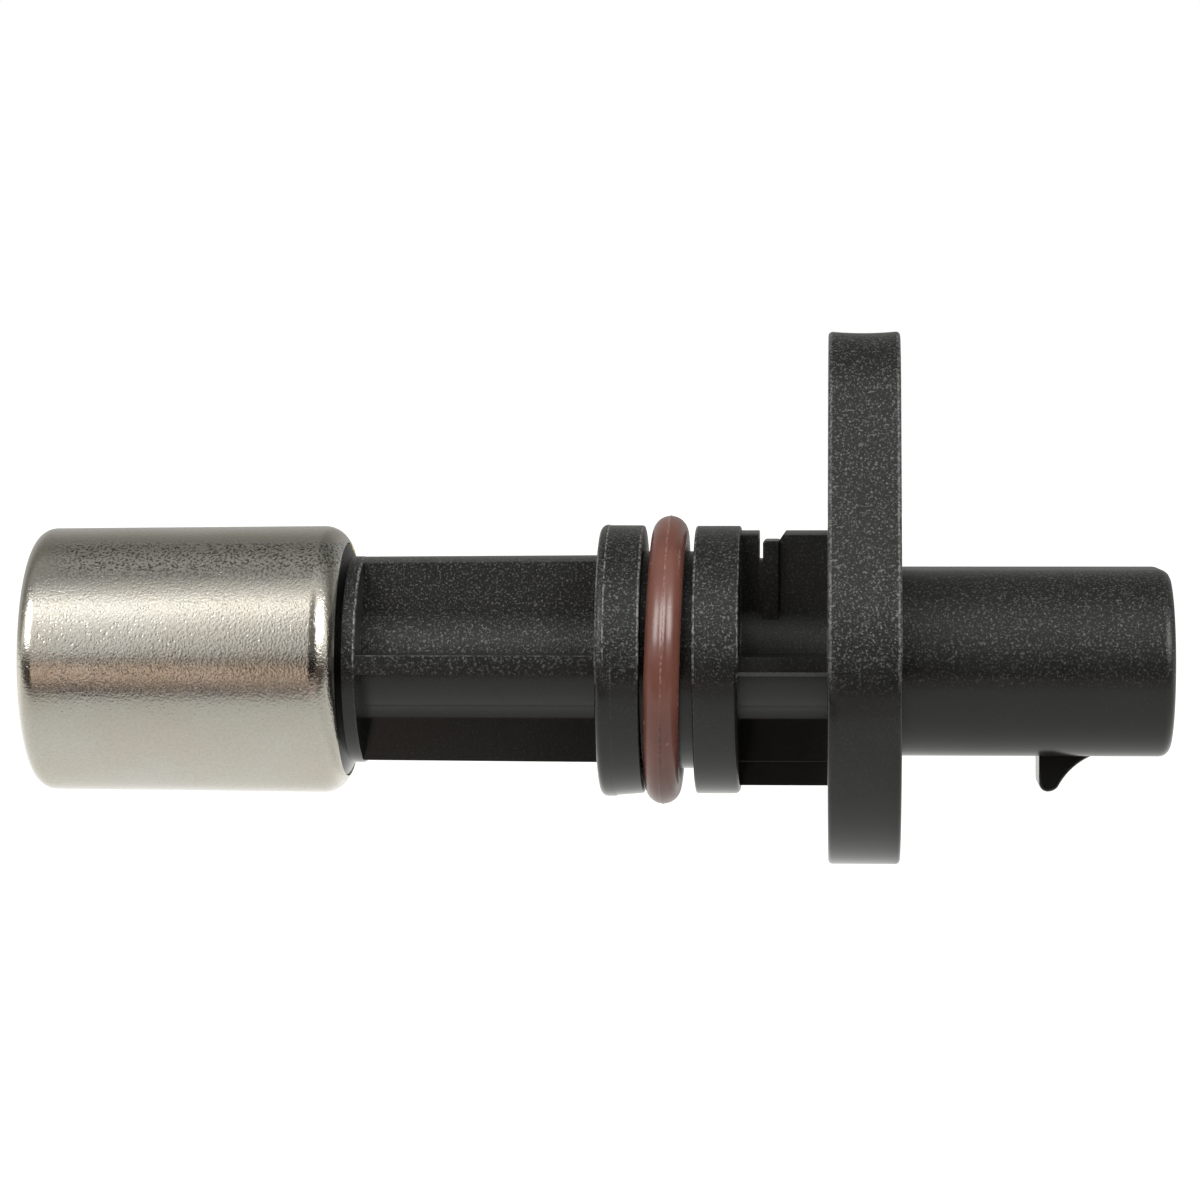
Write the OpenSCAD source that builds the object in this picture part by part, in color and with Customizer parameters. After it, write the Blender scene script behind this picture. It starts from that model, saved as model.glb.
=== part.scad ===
// Crankshaft position sensor of the variable reluctance type.
// The sensor's axis is X: the steel tip points to -X and the connector to +X.
// The origin is on that axis, in the plane of the flange face that seats on the engine block.
// The bolt ear points up, along +Z. Sizes are in millimetres.

/* [Steel cap] */
// Outer diameter of the cap at its crimped end
cap_d = 18.5; // [17.8:0.1:18.6]
// Length of the cap from its closed end to its rolled lip
cap_len = 21.7; // [20:0.1:26]
// Sheet thickness of the cap
cap_wall = 0.5; // [0.35:0.05:0.7]
// Radius that the drawn cap loses towards its closed end
cap_draft = 0.15; // [0.05:0.05:0.25]
// Outer radius of the closed end's corner
cap_corner_r = 1.3; // [1:0.1:2]
// Outer radius of the lip that is rolled over the plug
cap_bend_r = 1.75; // [1.5:0.05:2]
// Angle through which the lip is rolled
cap_bend_sweep = 70; // [60:1:78]

/* [Stem] */
// Diameter of the stem between the cap and the front collar
stem_d = 14.3; // [13.6:0.1:14.6]
// Length of the stem from the cap's shoulder to the front collar
stem_len = 17.2; // [12:0.1:24]
// Length of the whole ring next to the cap
stem_ring_len = 0.9; // [0.6:0.1:2]
// Thickness of the upright web
web_t = 4.4; // [3.6:0.1:5]
// Diameter of the round core that holds the two terminals
core_d = 8.2; // [7:0.1:9]
// Thickness of the rib on the parting plane
rib_t = 1.3; // [1.1:0.1:2]
// Chamfer on one edge of that rib
rib_chamfer = 0.4; // [0.1:0.05:0.5]

/* [Collars and ring groove] */
// Diameter of the two collars, a slip fit in the block's bore
collar_d = 18.5; // [18.5:0.1:20]
// Width of each collar
collar_w = 3.1; // [2.4:0.1:5]
// Chamfer along the axis on the front collar's upper half
collar_lead_upper = 0.5; // [0.2:0.05:0.9]
// Chamfer along the axis on the front collar's lower half
collar_lead_lower = 1; // [0.2:0.05:1.2]
// Diameter of the groove's floor
groove_d = 15; // [14.8:0.1:15.6]
// Width of the groove between the collars
groove_w = 3.5; // [3.4:0.1:5]
// Thickness of the sealing ring
ring_t = 2.4; // [2:0.05:2.5]
// Tilt at which the ring sits in its groove, in degrees
ring_tilt = 1.6; // [0:0.1:2]

/* [Neck under the flange] */
// Height of the neck between the rear collar and the flange
neck_d = 17.9; // [17.4:0.1:18.2]
// Length of that neck
neck_len = 6; // [5.8:0.1:9]
// Diameter of the round that the neck's keel ends at
keel_d = 17.3; // [16.6:0.1:17.6]
// Thickness of the keel below the stem's own round
keel_t = 3.9; // [3:0.1:4.3]
// Width of the slot through the web's top
slot_w = 0.3; // [0.25:0.05:0.6]
// Height of the slot's floor above the axis
slot_floor = 7; // [6.6:0.1:7.6]
// Width of the tongue beside the slot
tongue_w = 1.1; // [0.8:0.05:1.6]
// Thickness of the tongue across the web
tongue_t = 5.8; // [5.4:0.1:6.4]
// Height of the tongue's top above the axis
tongue_top = 8.3; // [7.7:0.1:8.3]

/* [Flange] */
// Thickness of the flange
flange_t = 4.9; // [4:0.1:7]
// Radius of the flange's round about the sensor axis
flange_r = 14.1; // [13:0.1:16]
// Radius of the bolt ear
ear_r = 7.4; // [7:0.1:9]
// Distance from the sensor axis to the bolt hole
bolt_offset = 15.2; // [14.5:0.1:20]
// Rounding of the flange's rim
rim_round = 0.3; // [0.2:0.05:0.8]
// Bore of the metal bushing, for an M6 bolt
bolt_bore = 6.6; // [6.4:0.1:6.8]
// Outer diameter of the bushing
bushing_d = 9.6; // [9:0.1:10.5]

/* [Connector] */
// Height of the connector shroud
shroud_h = 12.7; // [12.2:0.1:14]
// Width of the connector shroud
shroud_w = 18.4; // [17.8:0.1:22]
// Length of the shroud behind the flange
shroud_len = 18.2; // [17:0.1:24]
// Wall of the shroud
shroud_wall = 1.5; // [1.2:0.1:1.8]
// Depth of the socket
socket_depth = 15; // [14:0.1:16]
// Distance between the two terminal blades
pin_pitch = 6.5; // [5.6:0.1:7]
// Width of a terminal blade
blade_w = 1.5; // [1.2:0.1:2]
// Thickness of the terminal strip
strip_t = 0.8; // [0.6:0.05:1]
// Length of a blade inside the socket
blade_len = 10.4; // [8:0.1:12]
// Height of the locking ramp under the shroud
lock_h = 2.5; // [1.8:0.1:3]
// Length of the locking ramp
lock_len = 3.65; // [3.4:0.05:5]
// Width of the locking ramp
lock_w = 5; // [3:0.1:8]
// Distance from the shroud's mouth to the ramp's latching face
lock_setback = 8.75; // [8:0.05:11]

/* [Coil and magnet] */
// Diameter of the iron pole piece
pole_d = 5; // [4:0.1:6]
// Diameter of the magnet
magnet_d = 8; // [7:0.1:8.2]
// Length of the magnet
magnet_len = 5.2; // [4:0.1:6]
// Thickness of the coil's winding
coil_t = 3.7; // [2.5:0.1:3.8]
// Thickness of the tape round the coil
tape_t = 0.2; // [0.1:0.05:0.3]
// Thickness of the bobbin's hub
hub_t = 1; // [0.8:0.05:1.2]
// Thickness of the bobbin's two end discs
disc_t = 1.2; // [0.8:0.1:1.6]
// Thickness of the ring that seals the cap
cap_seal_t = 1.4; // [1.2:0.05:1.6]
// Diameter of the coil's lead wires
lead_d = 0.4; // [0.3:0.05:0.5]

/* [Hidden] */
$fn = 96;

// Small gap between pieces that are pushed together by hand
slip = 0.05;
// Reach of a cutting shape past the face that it cuts
over = 1;
// Points along a rounded edge and along a rolled one
edge_steps = 5;
roll_steps = 10;

// Places along the axis, from the flange face towards the tip
rear_collar_x = -neck_len - collar_w;
groove_x = rear_collar_x - groove_w;
front_collar_x = groove_x - collar_w;
shoulder_x = front_collar_x - stem_len;
shoulder_show = 0.35;
lip_x = shoulder_x - shoulder_show;
bend_x = lip_x - cap_bend_r * sin(cap_bend_sweep);
tip_x = lip_x - cap_len;
cap_r = cap_d / 2;
cap_inner_r = cap_r - cap_wall;
cap_tip_inner_r = cap_inner_r - cap_draft;
cap_floor_x = tip_x + cap_wall;
collar_r = collar_d / 2;
stem_r = stem_d / 2;

// The plug is the housing's end inside the cap, under the rolled lip
plug_len = 2.6;
seal_play = 0.2;
plug_x = bend_x - plug_len;
plug_r = cap_tip_inner_r - slip;
seal_groove_w = cap_seal_t + seal_play;
seal_groove_x = plug_x + (plug_len - seal_groove_w) / 2;
seal_seat_r = cap_tip_inner_r - cap_seal_t - slip;

// The coil stands between the cap's floor and the plug
floor_gap = 0.2;
magnet_x = plug_x - magnet_len;
rear_disc_x = magnet_x - disc_t;
front_disc_x = cap_floor_x + floor_gap;
coil_x = front_disc_x + disc_t;
coil_len = rear_disc_x - coil_x - slip;
hub_bore_r = pole_d / 2 + slip / 2;
hub_r = hub_bore_r + hub_t;
coil_r = hub_r + coil_t;
rear_disc_r = cap_tip_inner_r - 2 * slip;
front_disc_r = cap_tip_inner_r - cap_corner_r + cap_wall;
cup_bore_r = magnet_d / 2 + slip / 2;
cup_t = 1;
cup_r = cup_bore_r + cup_t;

// The terminal strips run flat on the parting plane
shroud_x = flange_t + shroud_len;
socket_x = shroud_x - socket_depth;
blade_tip_x = socket_x + blade_len;
blade_taper = 1.2;
run_w = 1.2;
run_y = core_d / 4 - slip;
post_gap = 0.3;
post_y = cup_r + post_gap + run_w / 2;
post_len = 4.2;
rear_jog_x = flange_t / 2;
front_jog_x = bend_x - run_w / 2;

// The fin, the slot, the tongue and the step at the top of the neck
fin_len = 1.25;
slot_x = -neck_len + fin_len;
tongue_x = slot_x + slot_w;
tongue_end_x = tongue_x + tongue_w;
step_run = 0.45;

lock_x = shroud_x - lock_setback;
lock_front_r = 0.6;
lock_lead_tip_r = 0.9;
lock_lead_turn = 50;
lock_hollow_r = 4.7;

// Points of an arc about a centre, from one angle to another
function arc(centre, r, from, to, steps) =
    [for (i = [0:steps]) let (turn = from + (to - from) * i / steps) centre + r * [cos(turn), sin(turn)]];

// Direction of a vector, from 0 to 360 degrees
function bearing(v) = (atan2(v[1], v[0]) + 360) % 360;

// A solid of revolution about the sensor axis, from a profile of [radius, x]
module turned() {
    rotate([0, 90, 0])
        rotate_extrude()
            children();
}

// One half of such a solid: side 1 is above the parting plane and -1 below it
module turned_half(side) {
    rotate([0, 90, 0])
        rotate([0, 0, 90 * side])
            rotate_extrude(angle = 180)
                children();
}

// A section in the Y-Z plane, drawn out along the axis from one place to another
module drawn(from, to) {
    translate([from, 0, 0])
        rotate([90, 0, 90])
            linear_extrude(to - from)
                children();
}

// A side view in the X-Z plane, given a width across Y
module across(width) {
    rotate([90, 0, 0])
        linear_extrude(width, center = true)
            children();
}

// A profile swept round two arcs and the two lines that touch both.
// The profile's x is 0 on that outline and negative inside it.
module swept_rim(r1, r2, distance) {
    lean = asin((r1 - r2) / distance);
    rotate([0, 0, 180 - lean])
        rotate_extrude(angle = 180 + 2 * lean)
            translate([r1, 0])
                children();
    translate([0, distance, 0])
        rotate([0, 0, lean])
            rotate_extrude(angle = 180 - 2 * lean)
                translate([r2, 0])
                    children();
    for (side = [0, 1])
        mirror([side, 0, 0])
            translate([r2 * cos(lean), distance + r2 * sin(lean), 0])
                rotate([0, 0, lean])
                    rotate([90, 0, 0])
                        linear_extrude(distance * cos(lean))
                            children();
}

// The flat outline of two rounds and the strip between them, a little inside their common tangents
module two_rounds(r1, r2, distance) {
    lean = asin((r1 - r2) / distance);
    way = [cos(lean), sin(lean)];
    a = (r1 - slip) * way;
    b = (r2 - slip) * way + [0, distance];
    circle(r1);
    translate([0, distance])
        circle(r2);
    polygon([[-a[0], a[1]], a, b, [-b[0], b[1]]]);
}

// The stem's section: web, core and parting rib inside one circle.
// chamfer_side is 1 for a chamfer on the rib's upper edges and -1 for the lower ones.
module stem_section(round_d, chamfer_side) {
    rib_z = chamfer_side * rib_t / 2;
    start = round_d / 2 - rib_chamfer;
    difference() {
        intersection() {
            circle(d = round_d);
            union() {
                intersection() {
                    circle(d = stem_d);
                    square([web_t, stem_d + over], center = true);
                }
                circle(d = core_d);
                square([round_d + over, rib_t], center = true);
            }
        }
        for (side = [-1, 1])
            polygon([[side * start, rib_z], [side * (start + over), rib_z],
                [side * (start + over), rib_z - chamfer_side * over]]);
    }
}

// The neck carries the stem's section on to the flange, between a fin above and a keel below
module neck_section() {
    stem_section(neck_d - rib_t, -1);
    intersection() {
        circle(d = neck_d);
        translate([-web_t / 2, 0])
            square([web_t, neck_d]);
    }
    intersection() {
        circle(d = keel_d);
        translate([-keel_t / 2, -neck_d])
            square([keel_t, neck_d]);
    }
}

// The opening that parts the tongue from the fin, seen from the side
module tongue_cut() {
    top = neck_d / 2 + over;
    step_x = tongue_end_x + step_run;
    polygon([[slot_x, slot_floor], [tongue_x, slot_floor], [tongue_x, tongue_top],
        [tongue_end_x, tongue_top], [step_x, neck_d / 2], [step_x, top], [slot_x, top]]);
}

module neck() {
    difference() {
        drawn(-neck_len - slip, slip)
            neck_section();
        across(neck_d)
            tongue_cut();
    }
    drawn(tongue_x, tongue_end_x)
        translate([-tongue_t / 2, 0])
            square([tongue_t, tongue_top]);
}

// The two collars and the groove between them. The mould's halves leave unlike chamfers.
module collars() {
    lead_drop = 0.25;
    rear_bevel = 0.4;
    for (side = [1, -1])
        turned_half(side) {
            lead = side > 0 ? collar_lead_upper : collar_lead_lower;
            polygon([[0, front_collar_x], [collar_r - lead_drop, front_collar_x],
                [collar_r, front_collar_x + lead], [collar_r, groove_x], [0, groove_x]]);
            bevel = side > 0 ? rear_bevel / 4 : rear_bevel;
            polygon([[0, rear_collar_x], [collar_r, rear_collar_x], [collar_r, -neck_len - bevel],
                [collar_r - bevel, -neck_len], [0, -neck_len]]);
        }
    turned()
        translate([0, groove_x - slip])
            square([groove_d / 2, groove_w + 2 * slip]);
}

// The housing's end inside the cap, with its seal groove and the shoulder under the lip.
// The shoulder also covers most of the lip's cut edge.
module plug() {
    edge_show = 0.1;
    centre = [cap_r - cap_bend_r, bend_x];
    under_r = cap_bend_r - cap_wall - slip;
    roll = arc(centre, under_r, 0, cap_bend_sweep, roll_steps);
    outward = [cos(cap_bend_sweep), sin(cap_bend_sweep)];
    past_edge = slip * [-outward[1], outward[0]];
    cover = [for (r = [under_r, cap_bend_r - edge_show]) centre + r * outward + past_edge];
    turned()
        polygon(concat([[0, plug_x], [plug_r, plug_x], [plug_r, seal_groove_x],
            [seal_seat_r, seal_groove_x], [seal_seat_r, seal_groove_x + seal_groove_w],
            [plug_r, seal_groove_x + seal_groove_w], [plug_r, bend_x - slip]], roll, cover,
            [[stem_r, shoulder_x], [stem_r, shoulder_x + stem_ring_len], [0, shoulder_x + stem_ring_len]]));
}

module flange() {
    top_arc = arc([-rim_round, flange_t - rim_round], rim_round, 0, 90, edge_steps);
    foot_arc = arc([-rim_round, rim_round], rim_round, -90, 0, edge_steps);
    depth = 3 * rim_round;
    inset = depth / 2;
    rotate([90, 0, 90]) {
        swept_rim(flange_r, ear_r, bolt_offset)
            polygon(concat([[-depth, 0]], foot_arc, top_arc, [[-depth, flange_t]]));
        linear_extrude(flange_t)
            two_rounds(flange_r - inset, ear_r - inset, bolt_offset);
    }
}

// The shroud is a wall swept round a long round outline, with a floor that carries the blades
module shroud() {
    mouth_r = shroud_wall / 2 - slip;
    outer_arc = arc([-mouth_r, shroud_x - mouth_r], mouth_r, 0, 90, edge_steps);
    inner_edge = 0.3;
    end_r = shroud_h / 2;
    span = shroud_w - shroud_h;
    rotate([90, 0, 90]) {
        translate([span / 2, 0, 0])
            rotate([0, 0, 90])
                swept_rim(end_r, end_r, span)
                    polygon(concat([[-shroud_wall, flange_t - slip], [0, flange_t - slip]], outer_arc,
                        [[-shroud_wall + inner_edge, shroud_x], [-shroud_wall, shroud_x - inner_edge]]));
        translate([0, 0, flange_t - slip])
            linear_extrude(socket_x - flange_t + slip) {
                square([span, shroud_h - shroud_wall], center = true);
                for (side = [-1, 1])
                    translate([side * span / 2, 0])
                        circle(end_r - shroud_wall / 2);
            }
    }
}

// The ramp that a plug's latch snaps behind.
// It has a square face towards the flange, a rounded tip and a hollow lead-in.
module lock_ramp() {
    base = -shroud_h / 2;
    root = base + shroud_wall / 2;
    bottom = base - lock_h;
    front_round = arc([lock_x + lock_front_r, bottom + lock_front_r], lock_front_r, 180, 270, edge_steps);
    lead_centre = [lock_x + lock_front_r, bottom + lock_lead_tip_r];
    lead_round = arc(lead_centre, lock_lead_tip_r, 270, 270 + lock_lead_turn, edge_steps);
    lead_start = lead_round[edge_steps];
    lead_end = [lock_x + lock_len, base];
    chord = lead_end - lead_start;
    across_chord = [chord[1], -chord[0]] / norm(chord);
    centre = (lead_end + lead_start) / 2 + across_chord * sqrt(pow(lock_hollow_r, 2) - chord * chord / 4);
    from = bearing(lead_start - centre);
    to = bearing(lead_end - centre);
    hollow = arc(centre, lock_hollow_r, from, to, roll_steps);
    across(lock_w)
        polygon(concat([[lock_x, root]], front_round, lead_round, hollow, [[lock_x + lock_len, root]]));
}

// One stamped strip: post, jog, long run, jog and tapered blade. side is 1 for +Y and -1 for -Y.
module terminal(side) {
    pin_y = pin_pitch / 2;
    mirror([0, side > 0 ? 0 : 1, 0])
        translate([0, 0, -strip_t / 2])
            linear_extrude(strip_t) {
                translate([rear_jog_x, pin_y - blade_w / 2])
                    square([blade_tip_x - blade_taper - rear_jog_x, blade_w]);
                translate([blade_tip_x, pin_y])
                    polygon([[-blade_taper, -blade_w / 2], [0, -blade_w / 4], [0, blade_w / 4],
                        [-blade_taper, blade_w / 2]]);
                translate([rear_jog_x, run_y - run_w / 2])
                    square([run_w, pin_y - run_y + run_w / 2]);
                translate([front_jog_x, run_y - run_w / 2])
                    square([rear_jog_x - front_jog_x, run_w]);
                translate([front_jog_x, run_y - run_w / 2])
                    square([run_w, post_y - run_y + run_w]);
                translate([plug_x - post_len, post_y - run_w / 2])
                    square([front_jog_x + run_w - plug_x + post_len, run_w]);
            }
}

module housing() {
    color("#26282a")
        difference() {
            union() {
                plug();
                drawn(shoulder_x + stem_ring_len - slip, front_collar_x + slip)
                    stem_section(stem_d, 1);
                collars();
                neck();
                flange();
                shroud();
                lock_ramp();
            }
            translate([0, 0, bolt_offset])
                turned()
                    bushing_outline();
            terminal(1);
            terminal(-1);
        }
}

// A drawn cup whose mouth is rolled in over the plug
module steel_cap() {
    tip_r = cap_r - cap_draft;
    corner = arc([tip_r - cap_corner_r, tip_x + cap_corner_r], cap_corner_r, -90, 0, roll_steps);
    inner_corner_r = cap_corner_r - cap_wall;
    inner_corner = arc([tip_r - cap_corner_r, tip_x + cap_corner_r], inner_corner_r, 0, -90, roll_steps);
    bend_centre = [cap_r - cap_bend_r, bend_x];
    lip = arc(bend_centre, cap_bend_r, 0, cap_bend_sweep, roll_steps);
    inner_lip = arc(bend_centre, cap_bend_r - cap_wall, cap_bend_sweep, 0, roll_steps);
    color("#b9b5ac")
        turned()
            polygon(concat([[0, tip_x]], corner, lip, inner_lip, inner_corner, [[0, cap_floor_x]]));
}

// The sealing ring, a little askew in its groove and up against the front collar
module o_ring() {
    ring_r = groove_d / 2 + slip + ring_t / 2;
    ring_x = groove_x + slip + ring_t / 2 + ring_r * sin(ring_tilt);
    color("#7a4a42")
        translate([ring_x, 0, 0])
            rotate([0, ring_tilt, 0])
                turned()
                    translate([ring_r, 0])
                        circle(d = ring_t);
}

// Outline of the bushing, with a shallow waist that the flange's plastic grips
module bushing_outline() {
    waist = 0.3;
    third = flange_t / 3;
    polygon([[0, 0], [bushing_d / 2, 0], [bushing_d / 2, third], [bushing_d / 2 - waist, third + waist],
        [bushing_d / 2 - waist, 2 * third - waist], [bushing_d / 2, 2 * third], [bushing_d / 2, flange_t],
        [0, flange_t]]);
}

// The metal sleeve that takes the bolt's clamping load
module flange_bushing() {
    color("#a9a59b")
        translate([0, 0, bolt_offset])
            difference() {
                turned()
                    bushing_outline();
                translate([-over, 0, 0])
                    rotate([0, 90, 0])
                        cylinder(d = bolt_bore, h = flange_t + 2 * over);
            }
}

module terminal_left() {
    color("#c9b37a")
        terminal(1);
}

module terminal_right() {
    color("#c9b37a")
        terminal(-1);
}

// The ring between the plug and the cap
module cap_seal() {
    color("#3a3a3a")
        turned()
            translate([seal_seat_r + cap_seal_t / 2, seal_groove_x + seal_groove_w / 2])
                circle(d = cap_seal_t);
}

// The bobbin's hub, its two end discs and the cup behind them that holds the magnet
module bobbin() {
    notch_w = 3 * lead_d;
    color("#d8d2c0")
        difference() {
            turned()
                polygon([[hub_bore_r, front_disc_x], [front_disc_r, front_disc_x], [front_disc_r, coil_x],
                    [hub_r, coil_x], [hub_r, rear_disc_x], [rear_disc_r, rear_disc_x],
                    [rear_disc_r, magnet_x], [cup_r, magnet_x], [cup_r, plug_x], [cup_bore_r, plug_x],
                    [cup_bore_r, magnet_x], [hub_bore_r, magnet_x]]);
            for (side = [-1, 1])
                translate([rear_disc_x - over, side * post_y - notch_w / 2, -notch_w / 2])
                    cube([disc_t + 2 * over, notch_w, strip_t + 2 * notch_w]);
        }
}

// The winding, as one solid, with the two lead wires that lie on the terminal posts
module coil_winding() {
    color("#b06a36") {
        turned()
            translate([hub_r, coil_x])
                square([coil_t, coil_len]);
        for (side = [-1, 1])
            translate([rear_disc_x - over, side * post_y, (strip_t + lead_d) / 2])
                rotate([0, 90, 0])
                    cylinder(d = lead_d, h = plug_x - rear_disc_x - post_len + 2 * over);
    }
}

module coil_tape() {
    color("#c9a227")
        turned()
            translate([coil_r, coil_x])
                square([tape_t, coil_len]);
}

// The iron core that reaches from the magnet to the cap's floor
module pole_piece() {
    color("#8a8d90")
        translate([cap_floor_x, 0, 0])
            rotate([0, 90, 0])
                cylinder(d = pole_d, h = magnet_x - cap_floor_x);
}

module magnet() {
    color("#55585c")
        translate([magnet_x, 0, 0])
            rotate([0, 90, 0])
                cylinder(d = magnet_d, h = magnet_len);
}

housing();
steel_cap();
o_ring();
flange_bushing();
terminal_left();
terminal_right();
cap_seal();
bobbin();
coil_winding();
coil_tape();
pole_piece();
magnet();
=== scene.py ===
"""Looks of a crankshaft position sensor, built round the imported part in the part's own frame.

The sensor's axis is X, with the steel tip at -X and the connector at +X. The bolt ear points up, along +Z.
Shapes are drawn in millimetres and brought to metres when a piece is finished.
"""

import logging
import math
from dataclasses import dataclass
from enum import Enum

import bmesh
import bpy
from bmesh.types import BMEdge, BMesh, BMFace, BMVert
from mathutils import Matrix, Vector


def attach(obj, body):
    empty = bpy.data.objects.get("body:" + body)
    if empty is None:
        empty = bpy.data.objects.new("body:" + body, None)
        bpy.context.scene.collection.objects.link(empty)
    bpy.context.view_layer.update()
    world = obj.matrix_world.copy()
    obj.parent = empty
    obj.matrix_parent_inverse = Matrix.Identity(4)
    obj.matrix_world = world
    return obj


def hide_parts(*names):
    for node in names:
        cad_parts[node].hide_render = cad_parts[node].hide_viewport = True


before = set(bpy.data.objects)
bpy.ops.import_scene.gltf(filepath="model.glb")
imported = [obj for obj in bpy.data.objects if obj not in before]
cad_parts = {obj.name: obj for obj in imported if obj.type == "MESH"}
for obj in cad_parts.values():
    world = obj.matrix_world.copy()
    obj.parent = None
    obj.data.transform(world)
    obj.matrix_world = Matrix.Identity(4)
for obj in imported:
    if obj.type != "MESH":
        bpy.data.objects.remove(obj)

log = logging.getLogger("sensor")

MM = 0.001
WORN = "worn_edge"
# CUT_AND_SHADOW marks both the cap's bare cut edge and plastic faces that take a painted shadow.
CUT_AND_SHADOW = "cut_edge"

# Sizes that several pieces share, in millimetres and degrees.
FLANGE_T = 4.9
BOLT_Z = 15.2
BUSHING_R = 4.8
BEND_X = -34.894
BEND_TURN = 70.0

Colour = tuple[float, float, float]
Spot = tuple[float, float]
Ramp = tuple[float, float]
Window = tuple[Ramp, Ramp]
Socket = bpy.types.NodeSocket


class Side(Enum):
    """The half of a moulding above or below its parting plane."""

    UPPER = 1
    LOWER = -1


class Stock:
    """Empty meshes, and what is often done to their faces."""

    @staticmethod
    def blank() -> BMesh:
        """Makes an empty mesh whose faces can be marked.

        Returns:
            The mesh, with a layer for worn faces and one for cut faces and faces in painted shadow.
        """
        bm = bmesh.new()
        for layer in (WORN, CUT_AND_SHADOW):
            bm.faces.layers.float.new(layer)
        return bm

    @staticmethod
    def mark(bm: BMesh, layer: str, faces: list[BMFace], share: float = 1.0) -> None:
        """Marks faces as worn, or as cut edges and faces in painted shadow.

        Args:
            bm: The mesh.
            layer: WORN, or CUT_AND_SHADOW for cut edges and painted shadow.
            faces: Its faces to mark.
            share: How strong the mark is, from 0 to 1.
        """
        place = bm.faces.layers.float[layer]
        for f in faces:
            f[place] = share

    @staticmethod
    def verts(geom: list[object]) -> list[BMVert]:
        """The corners among what an operator gives back."""
        return [g for g in geom if isinstance(g, BMVert)]

    @staticmethod
    def draw_out(bm: BMesh, face: BMFace, way: tuple[float, float, float]) -> None:
        """Draws a face out along a direction."""
        grown = bmesh.ops.extrude_face_region(bm, geom=[face])
        bmesh.ops.translate(bm, verts=Stock.verts(grown["geom"]), vec=way)


class Outline:
    """A chain of points in the plane y = 0. In it x runs along the sensor and z away from its axis."""

    def __init__(self, x: float, z: float) -> None:
        """Starts the chain at a point, in millimetres."""
        self.bm: BMesh = Stock.blank()
        self.last = self.first = self.bm.verts.new((x, 0.0, z))

    def to(self, x: float, z: float) -> "Outline":
        """Draws a straight line to a point.

        Args:
            x: Place along the sensor, in millimetres.
            z: Distance from the axis, in millimetres.

        Returns:
            The outline itself, so that calls can be chained.
        """
        end = self.bm.verts.new((x, 0.0, z))
        self.bm.edges.new((self.last, end))
        self.last = end
        return self

    def curve(self, x: float, z: float, radius: float, turn: int, steps: int = 8) -> "Outline":
        """Draws an arc of less than half a turn to a point.

        Args:
            x: Place of the arc's end along the sensor, in millimetres.
            z: Distance of the arc's end from the axis, in millimetres.
            radius: Radius of the arc, in millimetres.
            turn: 1 for an arc that goes round from +z towards +x, -1 for the other way.
            steps: Number of straight pieces in the arc.

        Returns:
            The outline itself, so that calls can be chained.
        """
        start, end = Vector((self.last.co.x, self.last.co.z)), Vector((x, z))
        chord = end - start
        half = min(chord.length / 2, radius)
        inward = Vector((chord.y, -chord.x)).normalized() * turn
        centre = (start + end) / 2 + inward * math.sqrt(radius * radius - half * half)
        made = bmesh.ops.spin(
            self.bm,
            geom=[self.last],
            cent=(centre.x, 0.0, centre.y),
            axis=(0.0, 1.0, 0.0),
            angle=turn * 2 * math.asin(half / radius),
            steps=steps,
        )
        self.last = Stock.verts(made["geom_last"])[0]
        return self

    def spun(self, steps: int) -> BMesh:
        """Turns the outline about the sensor axis.

        Args:
            steps: Number of segments in the full turn.

        Returns:
            The turned mesh, closed and with its faces outwards.
        """
        bm = self.bm
        bmesh.ops.spin(
            bm,
            geom=bm.verts[:] + bm.edges[:],
            cent=(0.0, 0.0, 0.0),
            axis=(1.0, 0.0, 0.0),
            angle=math.tau,
            steps=steps,
            use_merge=True,
        )
        bmesh.ops.remove_doubles(bm, verts=bm.verts[:], dist=1e-5)
        bmesh.ops.recalc_face_normals(bm, faces=bm.faces[:])
        return bm

    def ring(self, steps: int) -> BMesh:
        """Closes the outline on itself, then turns it in a number of segments."""
        self.bm.edges.new((self.last, self.first))
        return self.spun(steps)

    def across(self, width: float) -> BMesh:
        """Fills the outline and gives it a width across Y.

        Args:
            width: Full width, in millimetres.

        Returns:
            The solid, centred on y = 0.
        """
        bm = self.bm
        bm.edges.new((self.last, self.first))
        face = bmesh.ops.contextual_create(bm, geom=bm.edges[:])["faces"][0]
        Stock.draw_out(bm, face, (0.0, width, 0.0))
        bmesh.ops.translate(bm, verts=bm.verts[:], vec=(0.0, -width / 2, 0.0))
        bmesh.ops.recalc_face_normals(bm, faces=bm.faces[:])
        return bm


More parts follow.
